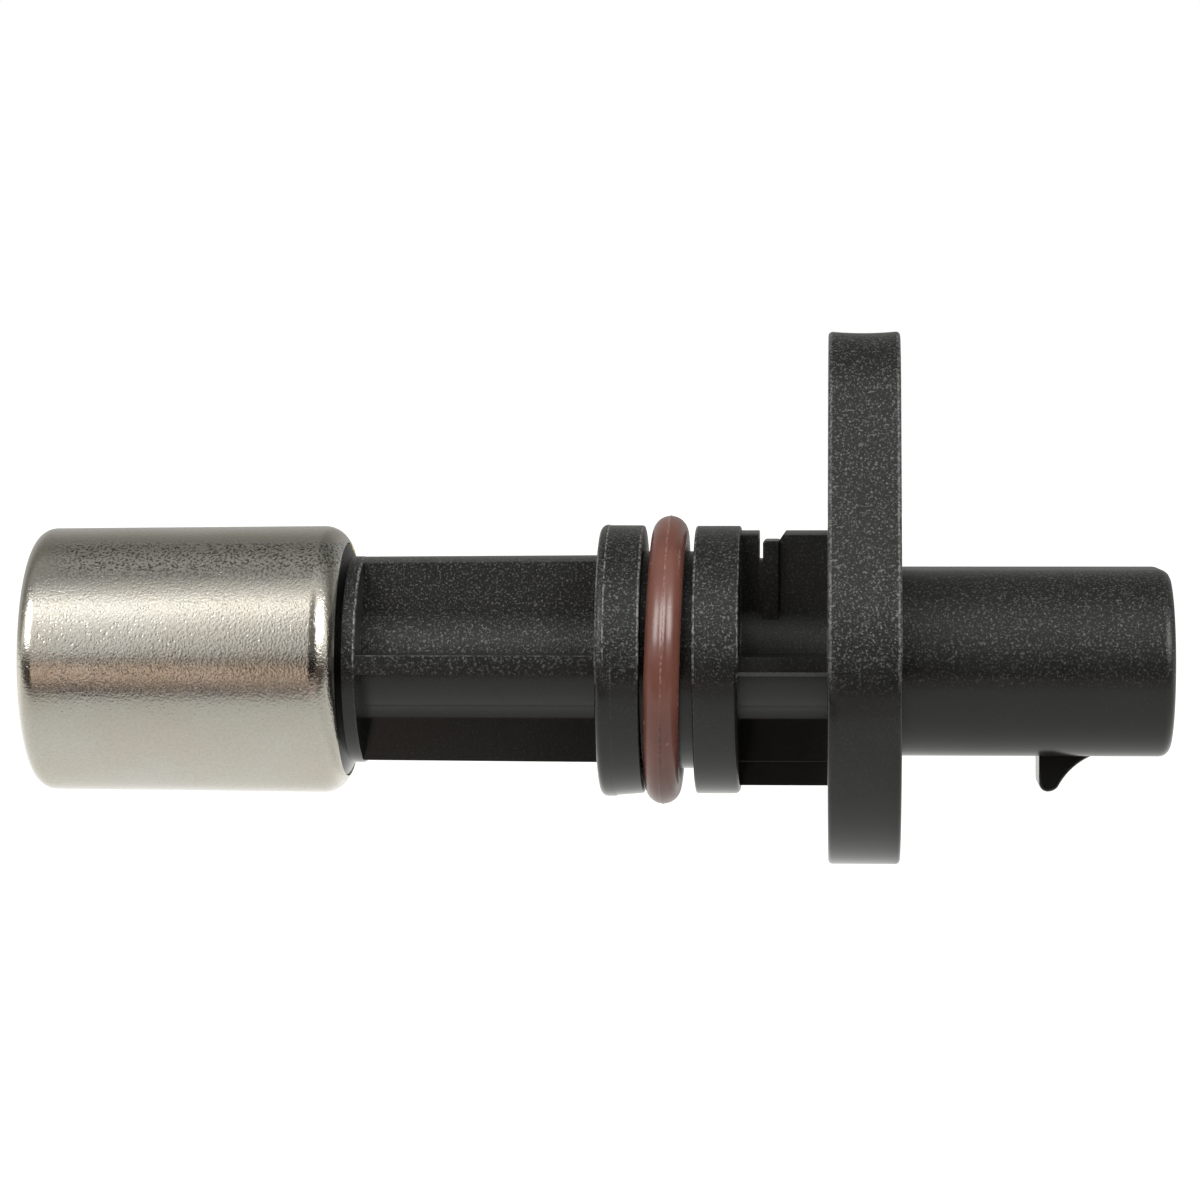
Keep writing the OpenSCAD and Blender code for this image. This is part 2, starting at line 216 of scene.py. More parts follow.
class Solid:
    """Makers of the plain solids that a moulding is joined from. Places across X are given as (y, z)."""

    @staticmethod
    def rod(
        radius: float,
        x0: float,
        x1: float,
        axis: Spot = (0.0, 0.0),
        steps: int = 144,
        into: BMesh | None = None,
    ) -> BMesh:
        """A round bar along X.

        Args:
            radius: Its radius, in millimetres.
            x0: Its start along X.
            x1: Its end along X.
            axis: Place of its axis.
            steps: Number of segments round it.
            into: A mesh to add it to, or None for a new one.

        Returns:
            The mesh with the closed bar.
        """
        bm = Stock.blank() if into is None else into
        bmesh.ops.create_cone(
            bm,
            cap_ends=True,
            segments=steps,
            radius1=radius,
            radius2=radius,
            depth=x1 - x0,
            matrix=Matrix.Translation(((x0 + x1) / 2, *axis)) @ Matrix.Rotation(math.pi / 2, 4, "Y"),
        )
        return bm

    @staticmethod
    def bar(section: list[Spot], x0: float, x1: float) -> BMesh:
        """A bar along X with a section of its own.

        Args:
            section: The corners of its section in turn.
            x0: Its start along X.
            x1: Its end along X.

        Returns:
            The closed bar.
        """
        bm = Stock.blank()
        face = bm.faces.new([bm.verts.new((x0, y, z)) for y, z in section])
        Stock.draw_out(bm, face, (x1 - x0, 0.0, 0.0))
        bmesh.ops.recalc_face_normals(bm, faces=bm.faces[:])
        return bm

    @staticmethod
    def trim(bm: BMesh, point: Vector, normal: Vector) -> BMesh:
        """Cuts away what lies beyond a plane and closes the cut.

        Args:
            bm: The solid.
            point: A point on the plane.
            normal: The plane's direction, towards the side that goes.

        Returns:
            The same solid.
        """
        geom = bm.verts[:] + bm.edges[:] + bm.faces[:]
        made = bmesh.ops.bisect_plane(bm, geom=geom, plane_co=point, plane_no=normal, clear_outer=True)
        rim = [g for g in made["geom_cut"] if isinstance(g, BMEdge)]
        bmesh.ops.edgeloop_fill(bm, edges=rim)
        return bm

    @staticmethod
    def slab(radius: float, x0: float, x1: float, low: Spot, high: Spot) -> BMesh:
        """A round bar along X with flats on its sides.

        Args:
            radius: Radius of the bar before it gets its flats.
            x0: Its start along X.
            x1: Its end along X.
            low: Least y and z.
            high: Greatest y and z.

        Returns:
            The closed slab.
        """
        bm = Solid.rod(radius, x0, x1)
        for way, least, greatest in zip((Vector((0.0, 1.0, 0.0)), Vector((0.0, 0.0, 1.0))), low, high):
            if greatest < radius:
                Solid.trim(bm, way * greatest, way)
            if least > -radius:
                Solid.trim(bm, way * least, -way)
        return bm

    @staticmethod
    def pair_hull(r1: float, r2: float, first: Spot, second: Spot, x0: float, x1: float, steps: int) -> BMesh:
        """A plate along X round two bars and the flats that touch both.

        Args:
            r1: Radius of the first bar.
            r2: Radius of the second bar.
            first: Place of the first bar's axis.
            second: Place of the second bar's axis.
            x0: The plate's start along X.
            x1: The plate's end along X.
            steps: Number of segments round each bar.

        Returns:
            The closed plate with whole end faces.
        """
        bm = Solid.rod(r1, x0, x1, first, steps)
        Solid.rod(r2, x0, x1, second, steps, bm)
        bmesh.ops.delete(bm, geom=bm.edges[:], context="EDGES_FACES")
        bmesh.ops.convex_hull(bm, input=bm.verts[:])
        spare = [v for v in bm.verts if not v.link_faces]
        bmesh.ops.delete(bm, geom=spare, context="VERTS")
        bmesh.ops.dissolve_limit(bm, angle_limit=math.radians(0.4), verts=bm.verts[:], edges=bm.edges[:])
        bmesh.ops.recalc_face_normals(bm, faces=bm.faces[:])
        return bm

    @staticmethod
    def runs_along(edge: BMEdge) -> bool:
        """Whether an edge runs along X."""
        return abs((edge.verts[1].co - edge.verts[0].co).normalized().x) > 0.99

    @staticmethod
    def edges(bm: BMesh, least: float = 30.0, along_x: bool | None = None) -> list[BMEdge]:
        """The outward corners of a solid.

        Args:
            bm: The solid.
            least: Least angle between the two faces, in degrees.
            along_x: True for edges along X alone, False for the others alone, None for all.

        Returns:
            The edges found.
        """
        sharp = math.radians(least)
        found = [e for e in bm.edges if e.is_manifold and e.calc_face_angle_signed(0.0) >= sharp]
        return [e for e in found if along_x is None or Solid.runs_along(e) == along_x]

    @staticmethod
    def soften(bm: BMesh, edges: list[BMEdge], width: float, segments: int = 3, mark: float = 1.0) -> None:
        """Rounds edges and marks the new faces as worn.

        Args:
            bm: The solid.
            edges: Its edges to round.
            width: Reach of the rounding on each face, in millimetres.
            segments: Number of strips in the rounding.
            mark: How worn the new faces are, from 0 to 1.
        """
        made = bmesh.ops.bevel(
            bm,
            geom=edges,
            offset=width,
            offset_type="OFFSET",
            affect="EDGES",
            segments=segments,
            profile=0.5,
            material=-1,
            clamp_overlap=True,
        )
        Stock.mark(bm, WORN, made["faces"], mark)

    @staticmethod
    def rub(bm: BMesh, spans: list[Ramp]) -> BMesh:
        """Marks the slanted faces of a turned solid as worn.

        Args:
            bm: A solid turned about X.
            spans: Lengths along X in which faces are marked.

        Returns:
            The same solid.
        """
        bm.normal_update()
        slanted = [(f, f.calc_center_median().x) for f in bm.faces if 0.2 < abs(f.normal.x) < 0.99]
        Stock.mark(bm, WORN, [f for f, x in slanted if any(low < x < high for low, high in spans)])
        return bm


class Bench:
    """Joins solids and turns them into finished pieces."""

    @staticmethod
    def joined(solids: list[BMesh], holes: list[BMesh]) -> BMesh:
        """Makes one moulding of several solids.

        Args:
            solids: Closed solids that overlap. They are used up.
            holes: Closed solids to take away. They are used up.

        Returns:
            The joined solid, in millimetres.
        """
        blanks = []
        for number, bm in enumerate(solids + holes):
            mesh = bpy.data.meshes.new(f"blank_{number}")
            bm.to_mesh(mesh)
            bm.free()
            blank = bpy.data.objects.new(mesh.name, mesh)
            bpy.context.scene.collection.objects.link(blank)
            blanks.append(blank)
        base = blanks[0]
        for number, other in enumerate(blanks[1:], 1):
            joint = base.modifiers.new(f"join_{number}", "BOOLEAN")
            joint.operation = "UNION" if number < len(solids) else "DIFFERENCE"
            joint.solver = "EXACT"
            joint.object = other
        graph = bpy.context.evaluated_depsgraph_get()
        whole = bpy.data.meshes.new_from_object(base.evaluated_get(graph), depsgraph=graph)
        bm = bmesh.new()
        bm.from_mesh(whole)
        bpy.data.meshes.remove(whole)
        for blank in blanks:
            mesh = blank.data
            bpy.data.objects.remove(blank)
            bpy.data.meshes.remove(mesh)
        bmesh.ops.remove_doubles(bm, verts=bm.verts[:], dist=1e-4)
        bmesh.ops.dissolve_degenerate(bm, edges=bm.edges[:], dist=1e-4)
        return bm

    @staticmethod
    def piece(
        bm: BMesh, name: str, node: str, slot: str, finish: "Finish", crease: float = 32.0
    ) -> bpy.types.Object:
        """Finishes a mesh as a piece that stands for a CAD node.

        Args:
            bm: The mesh, in millimetres. It is used up.
            name: The piece's name.
            node: The CAD node that it stands for.
            slot: Name of a material slot. It is not used.
            finish: What it is made of.
            crease: Least angle of an edge that stays sharp, in degrees.

        Returns:
            The piece.
        """
        bmesh.ops.scale(bm, vec=(MM, MM, MM), verts=bm.verts[:])
        mesh = bpy.data.meshes.new(name)
        bm.to_mesh(mesh)
        bm.free()
        mesh.polygons.foreach_set("use_smooth", [True] * len(mesh.polygons))
        mesh.set_sharp_from_angle(angle=math.radians(crease))
        mesh.materials.append(finish.material())
        obj = bpy.data.objects.new(name, mesh)
        bpy.context.scene.collection.objects.link(obj)
        normals = obj.modifiers.new("flat_faces", "WEIGHTED_NORMAL")
        normals.keep_sharp = True
        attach(obj, "root")
        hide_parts(node)
        log.info("%s: %d faces for %s", name, len(mesh.polygons), node)
        return obj


class Sheet:
    """Adds nodes to one node tree."""

    def __init__(self, tree: bpy.types.NodeTree) -> None:
        """Keeps the tree that the nodes go into."""
        self.tree = tree

    def fill(self, node: bpy.types.Node, **inputs: object) -> None:
        """Fills inputs of a node.

        Args:
            node: The node.
            **inputs: Values or sockets by input name, with _ for a space, or in0, in1 and so on for a place.
        """
        for key, value in inputs.items():
            place = int(key[2:]) if key[:2] == "in" and key[2:].isdigit() else key.replace("_", " ")
            socket = node.inputs[place]
            if isinstance(value, Socket):
                self.tree.links.new(value, socket)
            else:
                socket.default_value = (*value, 1.0) if socket.type == "RGBA" else value

    def add(self, kind: str, options: dict[str, object] | None = None, **inputs: object) -> bpy.types.Node:
        """Adds a node and fills its inputs.

        Args:
            kind: Blender's name of the node, without its ShaderNode prefix.
            options: Settings of the node itself.
            **inputs: Its inputs, as fill takes them.

        Returns:
            The node.
        """
        node = self.tree.nodes.new("ShaderNode" + kind)
        for key, value in (options or {}).items():
            setattr(node, key, value)
        self.fill(node, **inputs)
        return node

    def math(self, operation: str, a: object, b: object = 0.0) -> Socket:
        """One sum, by Blender's name of it, of two values or sockets."""
        return self.add("Math", {"operation": operation}, in0=a, in1=b).outputs[0]

    def product(self, first: object, *others: object) -> Socket:
        """Multiplies values or sockets.

        Args:
            first: The first of them.
            *others: The rest.

        Returns:
            Their product.
        """
        total = first
        for value in others:
            total = self.math("MULTIPLY", total, value)
        return total

    def span(self, value: Socket, low: float, high: float, to_low: float, to_high: float) -> Socket:
        """Maps a value from one span to another, held within it.

        Args:
            value: The value.
            low: Start of its span.
            high: End of its span.
            to_low: Start of the new span.
            to_high: End of the new span.

        Returns:
            The mapped value.
        """
        node = self.add("MapRange", None, in0=value, in1=low, in2=high, in3=to_low, in4=to_high)
        return node.outputs[0]

    def window(self, value: Socket, ramps: Window) -> Socket:
        """Picks out a stretch of a value.

        Args:
            value: The value.
            ramps: The span in which the result rises from 0 to 1, and the one in which it falls again.

        Returns:
            1 between the ramps and 0 outside them.
        """
        rise, fall = ramps
        return self.math("MINIMUM", self.span(value, *rise, 0.0, 1.0), self.span(value, *fall, 1.0, 0.0))

    def dip(self, value: Socket, ramps: Window, depth: float) -> Socket:
        """1 outside the ramps and a given depth between them."""
        return self.span(self.window(value, ramps), 0.0, 1.0, 1.0, depth)

    def blend(self, share: Socket, a: object, b: object) -> Socket:
        """Mixes two colours, with 0 for the first and 1 for the second."""
        return self.add("Mix", {"data_type": "RGBA"}, in0=share, in6=a, in7=b).outputs[2]

    def axes(self, place: Socket) -> bpy.types.bpy_prop_collection:
        """The X, Y and Z of a place."""
        return self.add("SeparateXYZ", None, Vector=place).outputs

    def marked(self, layer: str) -> Socket:
        """The marks on the faces of a piece."""
        return self.add("Attribute", {"attribute_name": layer}).outputs["Fac"]

    def seen(self) -> Socket:
        """1 for what the camera sees, straight or through something clear."""
        rays = self.add("LightPath").outputs
        return self.math("MAXIMUM", rays["Is Camera Ray"], rays["Is Transmission Ray"])


class Effects:
    """Node groups that several finishes share."""

    @staticmethod
    def group(name: str, inputs: dict[str, float], outputs: tuple[str, ...]) -> bpy.types.NodeTree:
        """Starts a group with its sockets.

        Args:
            name: The group's name.
            inputs: Its values with what they are at first. A place, named Vector, comes before them.
            outputs: The values that it gives.

        Returns:
            The group, still without its nodes.
        """
        tree = bpy.data.node_groups.new(name, "ShaderNodeTree")
        tree.interface.new_socket("Vector", in_out="INPUT", socket_type="NodeSocketVector")
        for label, value in inputs.items():
            socket = tree.interface.new_socket(label, in_out="INPUT", socket_type="NodeSocketFloat")
            socket.default_value = value
        for label in outputs:
            tree.interface.new_socket(label, in_out="OUTPUT", socket_type="NodeSocketFloat")
        return tree

    @staticmethod
    def grain() -> bpy.types.NodeTree:
        """Fine skin of a moulding or a rolled sheet: a height, scattered flecks and slow patches.

        Returns:
            The group, made once.
        """
        name = "surface_grain"
        if name in bpy.data.node_groups:
            return bpy.data.node_groups[name]
        scales = {"Grain Scale": 9000.0, "Fleck Scale": 7000.0, "Fleck Share": 0.06, "Patch Scale": 220.0}
        tree = Effects.group(name, scales, ("Height", "Fleck", "Patch"))
        sheet = Sheet(tree)
        given = tree.nodes.new("NodeGroupInput").outputs
        place = given["Vector"]
        fine = {"Scale": given["Grain Scale"], "Detail": 2.0, "Roughness": 0.6}
        noise = sheet.add("TexNoise", None, Vector=place, **fine)
        cells = sheet.add("TexVoronoi", None, Vector=place, Scale=given["Fleck Scale"]).outputs
        lot = sheet.add("SeparateColor", None, Color=cells["Color"]).outputs[0]
        chosen = sheet.math("LESS_THAN", lot, given["Fleck Share"])
        core = sheet.span(cells["Distance"], 0.18, 0.42, 1.0, 0.0)
        patch = sheet.add("TexNoise", None, Vector=place, Scale=given["Patch Scale"], Detail=3.0)
        sheet.fill(
            tree.nodes.new("NodeGroupOutput"),
            Height=noise.outputs["Fac"],
            Fleck=sheet.product(chosen, core),
            Patch=patch.outputs["Fac"],
        )
        return tree

    @staticmethod
    def wear() -> bpy.types.NodeTree:
        """Broken lines along rubbed edges, filled with wear and painted highlight on the plastic and with
        dust and painted shade on rubber.

        Returns:
            The group, made once.
        """
        name = "edge_wear"
        if name in bpy.data.node_groups:
            return bpy.data.node_groups[name]
        tree = Effects.group(name, {"Edge": 0.0, "Amount": 0.0}, ("Mask",))
        sheet = Sheet(tree)
        given = tree.nodes.new("NodeGroupInput").outputs
        breaks = sheet.add("TexNoise", None, Vector=given["Vector"], Scale=4600.0, Detail=1.0, Roughness=0.5)
        broken = sheet.span(breaks.outputs["Fac"], 0.44, 0.62, 0.05, 1.0)
        mask = sheet.product(given["Edge"], broken, given["Amount"])
        sheet.fill(tree.nodes.new("NodeGroupOutput"), Mask=mask)
        return tree


@dataclass(frozen=True)
class Finish:
    """What a piece is made of, with the values that all finishes have. Places are in metres."""

    name: str
    colour: Colour
    roughness: float

    def material(self) -> bpy.types.Material:
        """The finished material.

        Returns:
            The material, made once for each name.
        """
        if self.name in bpy.data.materials:
            return bpy.data.materials[self.name]
        made = bpy.data.materials.new(self.name)
        made.use_nodes = True
        made.node_tree.nodes.clear()
        sheet = Sheet(made.node_tree)
        place = sheet.add("TexCoord").outputs["Object"]
        shader = sheet.add("BsdfPrincipled", None, Roughness=self.roughness, Base_Color=self.colour)
        sheet.add("OutputMaterial", None, Surface=shader.outputs[0])
        self.dress(sheet, place, shader)
        return made

    def dress(self, sheet: Sheet, place: Socket, shader: bpy.types.Node) -> None:
        """Adds this finish's own nodes.

        Args:
            sheet: The material's nodes.
            place: Object coordinates.
            shader: The material's shader.
        """
        raise NotImplementedError

    def tone(self, factor: float) -> Colour:
        """The finish's colour, made darker or lighter."""
        return tuple(c * factor for c in self.colour)

    @staticmethod
    def grained(sheet: Sheet, place: Socket, **values: float) -> bpy.types.bpy_prop_collection:
        """The grain group's height, flecks and patches, with its inputs given by name."""
        return sheet.add("Group", {"node_tree": Effects.grain()}, Vector=place, **values).outputs

    @staticmethod
    def rubbed(sheet: Sheet, place: Socket, amount: float) -> Socket:
        """The mask of the wear group on the piece's own edge marks, in a given strength."""
        inputs = {"Vector": place, "Edge": sheet.marked(WORN), "Amount": amount}
        return sheet.add("Group", {"node_tree": Effects.wear()}, **inputs).outputs["Mask"]

    @staticmethod
    def bump(sheet: Sheet, height: Socket, depth: float) -> Socket:
        """A normal bumped by a height from 0 to 1, which is a given depth in metres."""
        return sheet.add("Bump", None, Strength=1.0, Distance=depth, Height=height).outputs["Normal"]


@dataclass(frozen=True)
class SparkPlastic(Finish):
    """Black glass-filled plastic. Its spark-eroded skin is calmer below the parting, on neck and shroud, and
    its bright flecks and pale edges fade with it, which paints shade on the lower half, turned from the light
    above, and in the neck's pocket.
    """

    fleck: Colour = (0.31, 0.316, 0.31)
    # Near-black for faces marked as cut: a painted shadow in the gap behind the cap's lip.
    painted_gap_shadow: Colour = (0.004, 0.004, 0.004)
    # Pale edge colour: wear, and a painted highlight where light falls on the upper half.
    worn_and_highlight: Colour = (0.26, 0.26, 0.25)
    # Below the parting and in the neck the flecks and pale edges fade to these shares: painted shade under
    # the light from above and in the neck's pocket.
    parting_z: Ramp = (-1.5e-3, 1e-3)
    lower_spark_and_shade: float = 0.07
    shroud_x: Ramp = (0.0049, 0.005)
    shroud_spark: float = 0.7
    neck_x: Window = ((-0.006, -0.0059), (-1e-4, 0.0))
    neck_spark_and_shade: float = 0.3

    def dress(self, sheet: Sheet, place: Socket, shader: bpy.types.Node) -> None:
        """Adds grain, glinting flecks, slow patches, rubbed edges with a painted highlight on the upper half,
        and a near-black painted shadow on faces marked as cut.
        """
        out = self.grained(
            sheet, place, Grain_Scale=6400.0, Fleck_Scale=7400.0, Fleck_Share=0.1, Patch_Scale=260.0
        )
        axes = sheet.axes(place)
        # This mask calms the skin; the bright flecks and pale edges that follow it are painted shade below
        # the parting and in the neck's pocket.
        spark_and_shade = sheet.product(
            sheet.span(axes["Z"], *self.parting_z, self.lower_spark_and_shade, 1.0),
            sheet.span(axes["X"], *self.shroud_x, 1.0, self.shroud_spark),
            sheet.dip(axes["X"], self.neck_x, self.neck_spark_and_shade),
        )
        base = sheet.blend(sheet.span(out["Patch"], 0.3, 0.7, 0.0, 1.0), self.tone(0.7), self.colour)
        speck = sheet.math("POWER", sheet.span(out["Height"], 0.53, 0.77, 0.0, 1.0), 1.25)
        speck = sheet.product(sheet.math("MAXIMUM", speck, sheet.product(out["Fleck"], 0.6)), spark_and_shade)
        base = sheet.blend(speck, base, self.fleck)
        # Pale rubbed edges, mostly on the upper half: wear, with a painted highlight.
        base = sheet.blend(sheet.product(self.rubbed(sheet, place, 1.0), spark_and_shade), base, self.worn_and_highlight)
        # Faces marked as cut go near-black and shineless: a painted shadow.
        painted_shadow = sheet.marked(CUT_AND_SHADOW)
        base = sheet.blend(painted_shadow, base, self.painted_gap_shadow)
        sheet.fill(
            shader,
            Base_Color=base,
            Metallic=sheet.math("MAXIMUM", sheet.product(speck, 0.8), painted_shadow),
            Roughness=sheet.span(axes["Z"], *self.parting_z, self.roughness - 0.1, self.roughness),
            Specular_IOR_Level=0.5,
            Coat_Weight=sheet.span(axes["Z"], *self.parting_z, 0.3, 0.0),
            Coat_Roughness=0.2,
            Normal=self.bump(sheet, sheet.product(out["Height"], spark_and_shade), 5.0e-5),
        )


@dataclass(frozen=True)
class DrawnSteel(Finish):
    """Satin plated sheet, drawn to a cup, with a painted stripe of paler sheet and dark specks across its
    top, where a dark reflection lies.
    """

    edge: Colour = (0.55, 0.40, 0.17)
    stain: Colour = (0.98, 0.95, 0.89)
    # Where the painted reflection stripe lies: paler sheet with dark specks, at the height of a dark
    # reflection.
    painted_band_x: Ramp = (-0.0535, -0.0515)
    painted_band_z: Window = ((5.6e-3, 6.6e-3), (8.0e-3, 8.4e-3))

    def dress(self, sheet: Sheet, place: Socket, shader: bpy.types.Node) -> None:
        """Adds the sheet's orange skin, fine dark flecks, the painted reflection stripe, slow stains and the
        bare cut edge.
        """
        out = self.grained(
            sheet, place, Grain_Scale=5600.0, Fleck_Scale=5200.0, Fleck_Share=0.3, Patch_Scale=150.0
        )
        axes = sheet.axes(place)
        warm = tuple(c * f for c, f in zip(self.colour, self.stain))
        dark = self.tone(0.55)
        base = sheet.blend(sheet.span(out["Patch"], 0.35, 0.65, 0.0, 1.0), self.colour, warm)
        base = sheet.blend(sheet.span(out["Height"], 0.35, 0.62, 0.2, 0.0), base, dark)
        base = sheet.blend(sheet.product(out["Fleck"], 0.1), base, dark)
        # Painted reflection: a stripe of paler sheet with dark specks high on the cap, where the room's dark
        # reflection falls.
        painted_band = sheet.product(
            sheet.window(axes["Z"], self.painted_band_z), sheet.span(axes["X"], *self.painted_band_x, 0.0, 1.0)
        )
        base = sheet.blend(painted_band, base, self.tone(1.12))
        painted_pits = sheet.product(painted_band, sheet.span(out["Height"], 0.4, 0.52, 1.0, 0.0))
        base = sheet.blend(painted_pits, base, self.tone(0.25))
        skin = sheet.math("SUBTRACT", out["Height"], sheet.product(out["Fleck"], 0.35))
        sheet.fill(
            shader,
            Base_Color=sheet.blend(sheet.marked(CUT_AND_SHADOW), base, self.edge),
            Metallic=1.0,
            Roughness=sheet.span(out["Patch"], 0.3, 0.7, self.roughness - 0.03, self.roughness + 0.04),
            Normal=self.bump(sheet, skin, 1.9e-5),
        )


@dataclass(frozen=True)
class MouldedRubber(Finish):
    """Satin sealing rubber, or the like, with dust and a trimmed mould line that is painted dark below as
    shade.
    """

    dust: Colour = (0.36, 0.24, 0.21)
    # Near-black for the mould line low on the ring: painted shade.
    painted_seam_shade: Colour = (0.05, 0.025, 0.02)
    seam_shade_z: Ramp = (-4e-3, -1e-3)

    def dress(self, sheet: Sheet, place: Socket, shader: bpy.types.Node) -> None:
        """Adds a faint skin, specks of dust, slow patches of bloom, and the rubbed mould line in dust colour
        above and painted shade below.
        """
        out = self.grained(
            sheet, place, Grain_Scale=3000.0, Fleck_Scale=2600.0, Fleck_Share=0.02, Patch_Scale=300.0
        )
        pale = tuple(min(1.0, c * 1.22 + 0.008) for c in self.colour)
        base = sheet.blend(sheet.span(out["Patch"], 0.3, 0.7, 0.0, 1.0), self.colour, pale)
        # The rubbed mould line is dust colour high up and near-black low down: painted shade under it.
        dust_and_shade_seam = sheet.blend(
            sheet.span(sheet.axes(place)["Z"], *self.seam_shade_z, 0.0, 1.0), self.painted_seam_shade, self.dust
        )
        base = sheet.blend(self.rubbed(sheet, place, 0.7), base, dust_and_shade_seam)
        sheet.fill(
            shader,
            Base_Color=sheet.blend(sheet.product(out["Fleck"], 0.6), base, self.dust),
            Roughness=sheet.span(out["Patch"], 0.3, 0.7, self.roughness - 0.05, self.roughness + 0.05),
            Specular_IOR_Level=0.75,
            Normal=self.bump(sheet, out["Height"], 6e-6),
        )


@dataclass(frozen=True)
class PlainMetal(Finish):
    """Turned, ground or stamped metal with fine marks along one direction."""

    marks: tuple[float, float, float] = (9000.0, 900.0, 900.0)
    metallic: float = 1.0

    def dress(self, sheet: Sheet, place: Socket, shader: bpy.types.Node) -> None:
        """Adds tool marks and slow tarnish."""
        drawn = sheet.add("Mapping", None, Vector=place, Scale=self.marks).outputs[0]
        scratch = sheet.add("TexNoise", None, Vector=drawn, Scale=1.0, Detail=3.0).outputs["Fac"]
        out = self.grained(sheet, place, Patch_Scale=400.0)
        sheet.fill(
            shader,
            Base_Color=sheet.blend(
                sheet.span(out["Patch"], 0.35, 0.7, 0.0, 1.0), self.colour, self.tone(0.7)
            ),
            Metallic=self.metallic,
            Roughness=sheet.span(scratch, 0.3, 0.7, self.roughness - 0.06, self.roughness + 0.1),
            Normal=self.bump(sheet, scratch, 6e-6),
        )


@dataclass(frozen=True)
class Winding(Finish):
    """Layers of enamelled wire, or of wrapped tape, that repeat along the axis."""

    pitch: float = 0.00022
    metallic: float = 0.8

    def dress(self, sheet: Sheet, place: Socket, shader: bpy.types.Node) -> None:
        """Adds one ridge for each turn."""
        bands = {"wave_type": "BANDS", "bands_direction": "X"}
        wave = sheet.add("TexWave", bands, Vector=place, Scale=math.pi / 10 / self.pitch).outputs["Fac"]
        out = self.grained(sheet, place, Patch_Scale=500.0)
        sheet.fill(
            shader,
            Base_Color=sheet.blend(wave, self.tone(0.5), self.colour),
            Metallic=self.metallic,
            Roughness=sheet.span(out["Patch"], 0.3, 0.7, self.roughness - 0.05, self.roughness + 0.1),
            Normal=self.bump(sheet, wave, self.pitch / 3),
        )


BLACK_PLASTIC = SparkPlastic("black_spark_plastic", (0.0106, 0.0121, 0.0106), 0.33)
CAP_STEEL = DrawnSteel("satin_drawn_steel", (0.71, 0.688, 0.63), 0.14)
RING_RUBBER = MouldedRubber("brown_ring_rubber", (0.178, 0.065, 0.0465), 0.27)
SEAL_RUBBER = MouldedRubber(
    "black_seal_rubber", (0.03, 0.03, 0.03), 0.5, (0.09, 0.09, 0.09), (0.02, 0.02, 0.02)
)
BUSHING_STEEL = PlainMetal("turned_plated_steel", (0.55, 0.53, 0.49), 0.3)
BLADE_TIN = PlainMetal("tinned_brass", (0.62, 0.60, 0.55), 0.3, (900.0, 9000.0, 9000.0))
POLE_IRON = PlainMetal("turned_soft_iron", (0.36, 0.36, 0.37), 0.38)
MAGNET_BODY = PlainMetal("ground_magnet", (0.16, 0.16, 0.17), 0.45, (2500.0, 2500.0, 2500.0), 0.6)
BOBBIN_NYLON = MouldedRubber("natural_nylon", (0.62, 0.57, 0.46), 0.48, (0.7, 0.66, 0.56), (0.5, 0.45, 0.36))
COPPER_TURNS = Winding("enamelled_copper_turns", (0.62, 0.27, 0.10), 0.28)
TAPE_WRAP = Winding("amber_tape", (0.50, 0.30, 0.05), 0.25, 0.0045, 0.0)


@dataclass(frozen=True)
class MouldHalf:
    """How one half of the mould left the collars, in millimetres."""

    side: Side
    inset: float
    witness: float
    lead_r: float
    step_r: float
    end_r: float
    back_round: float


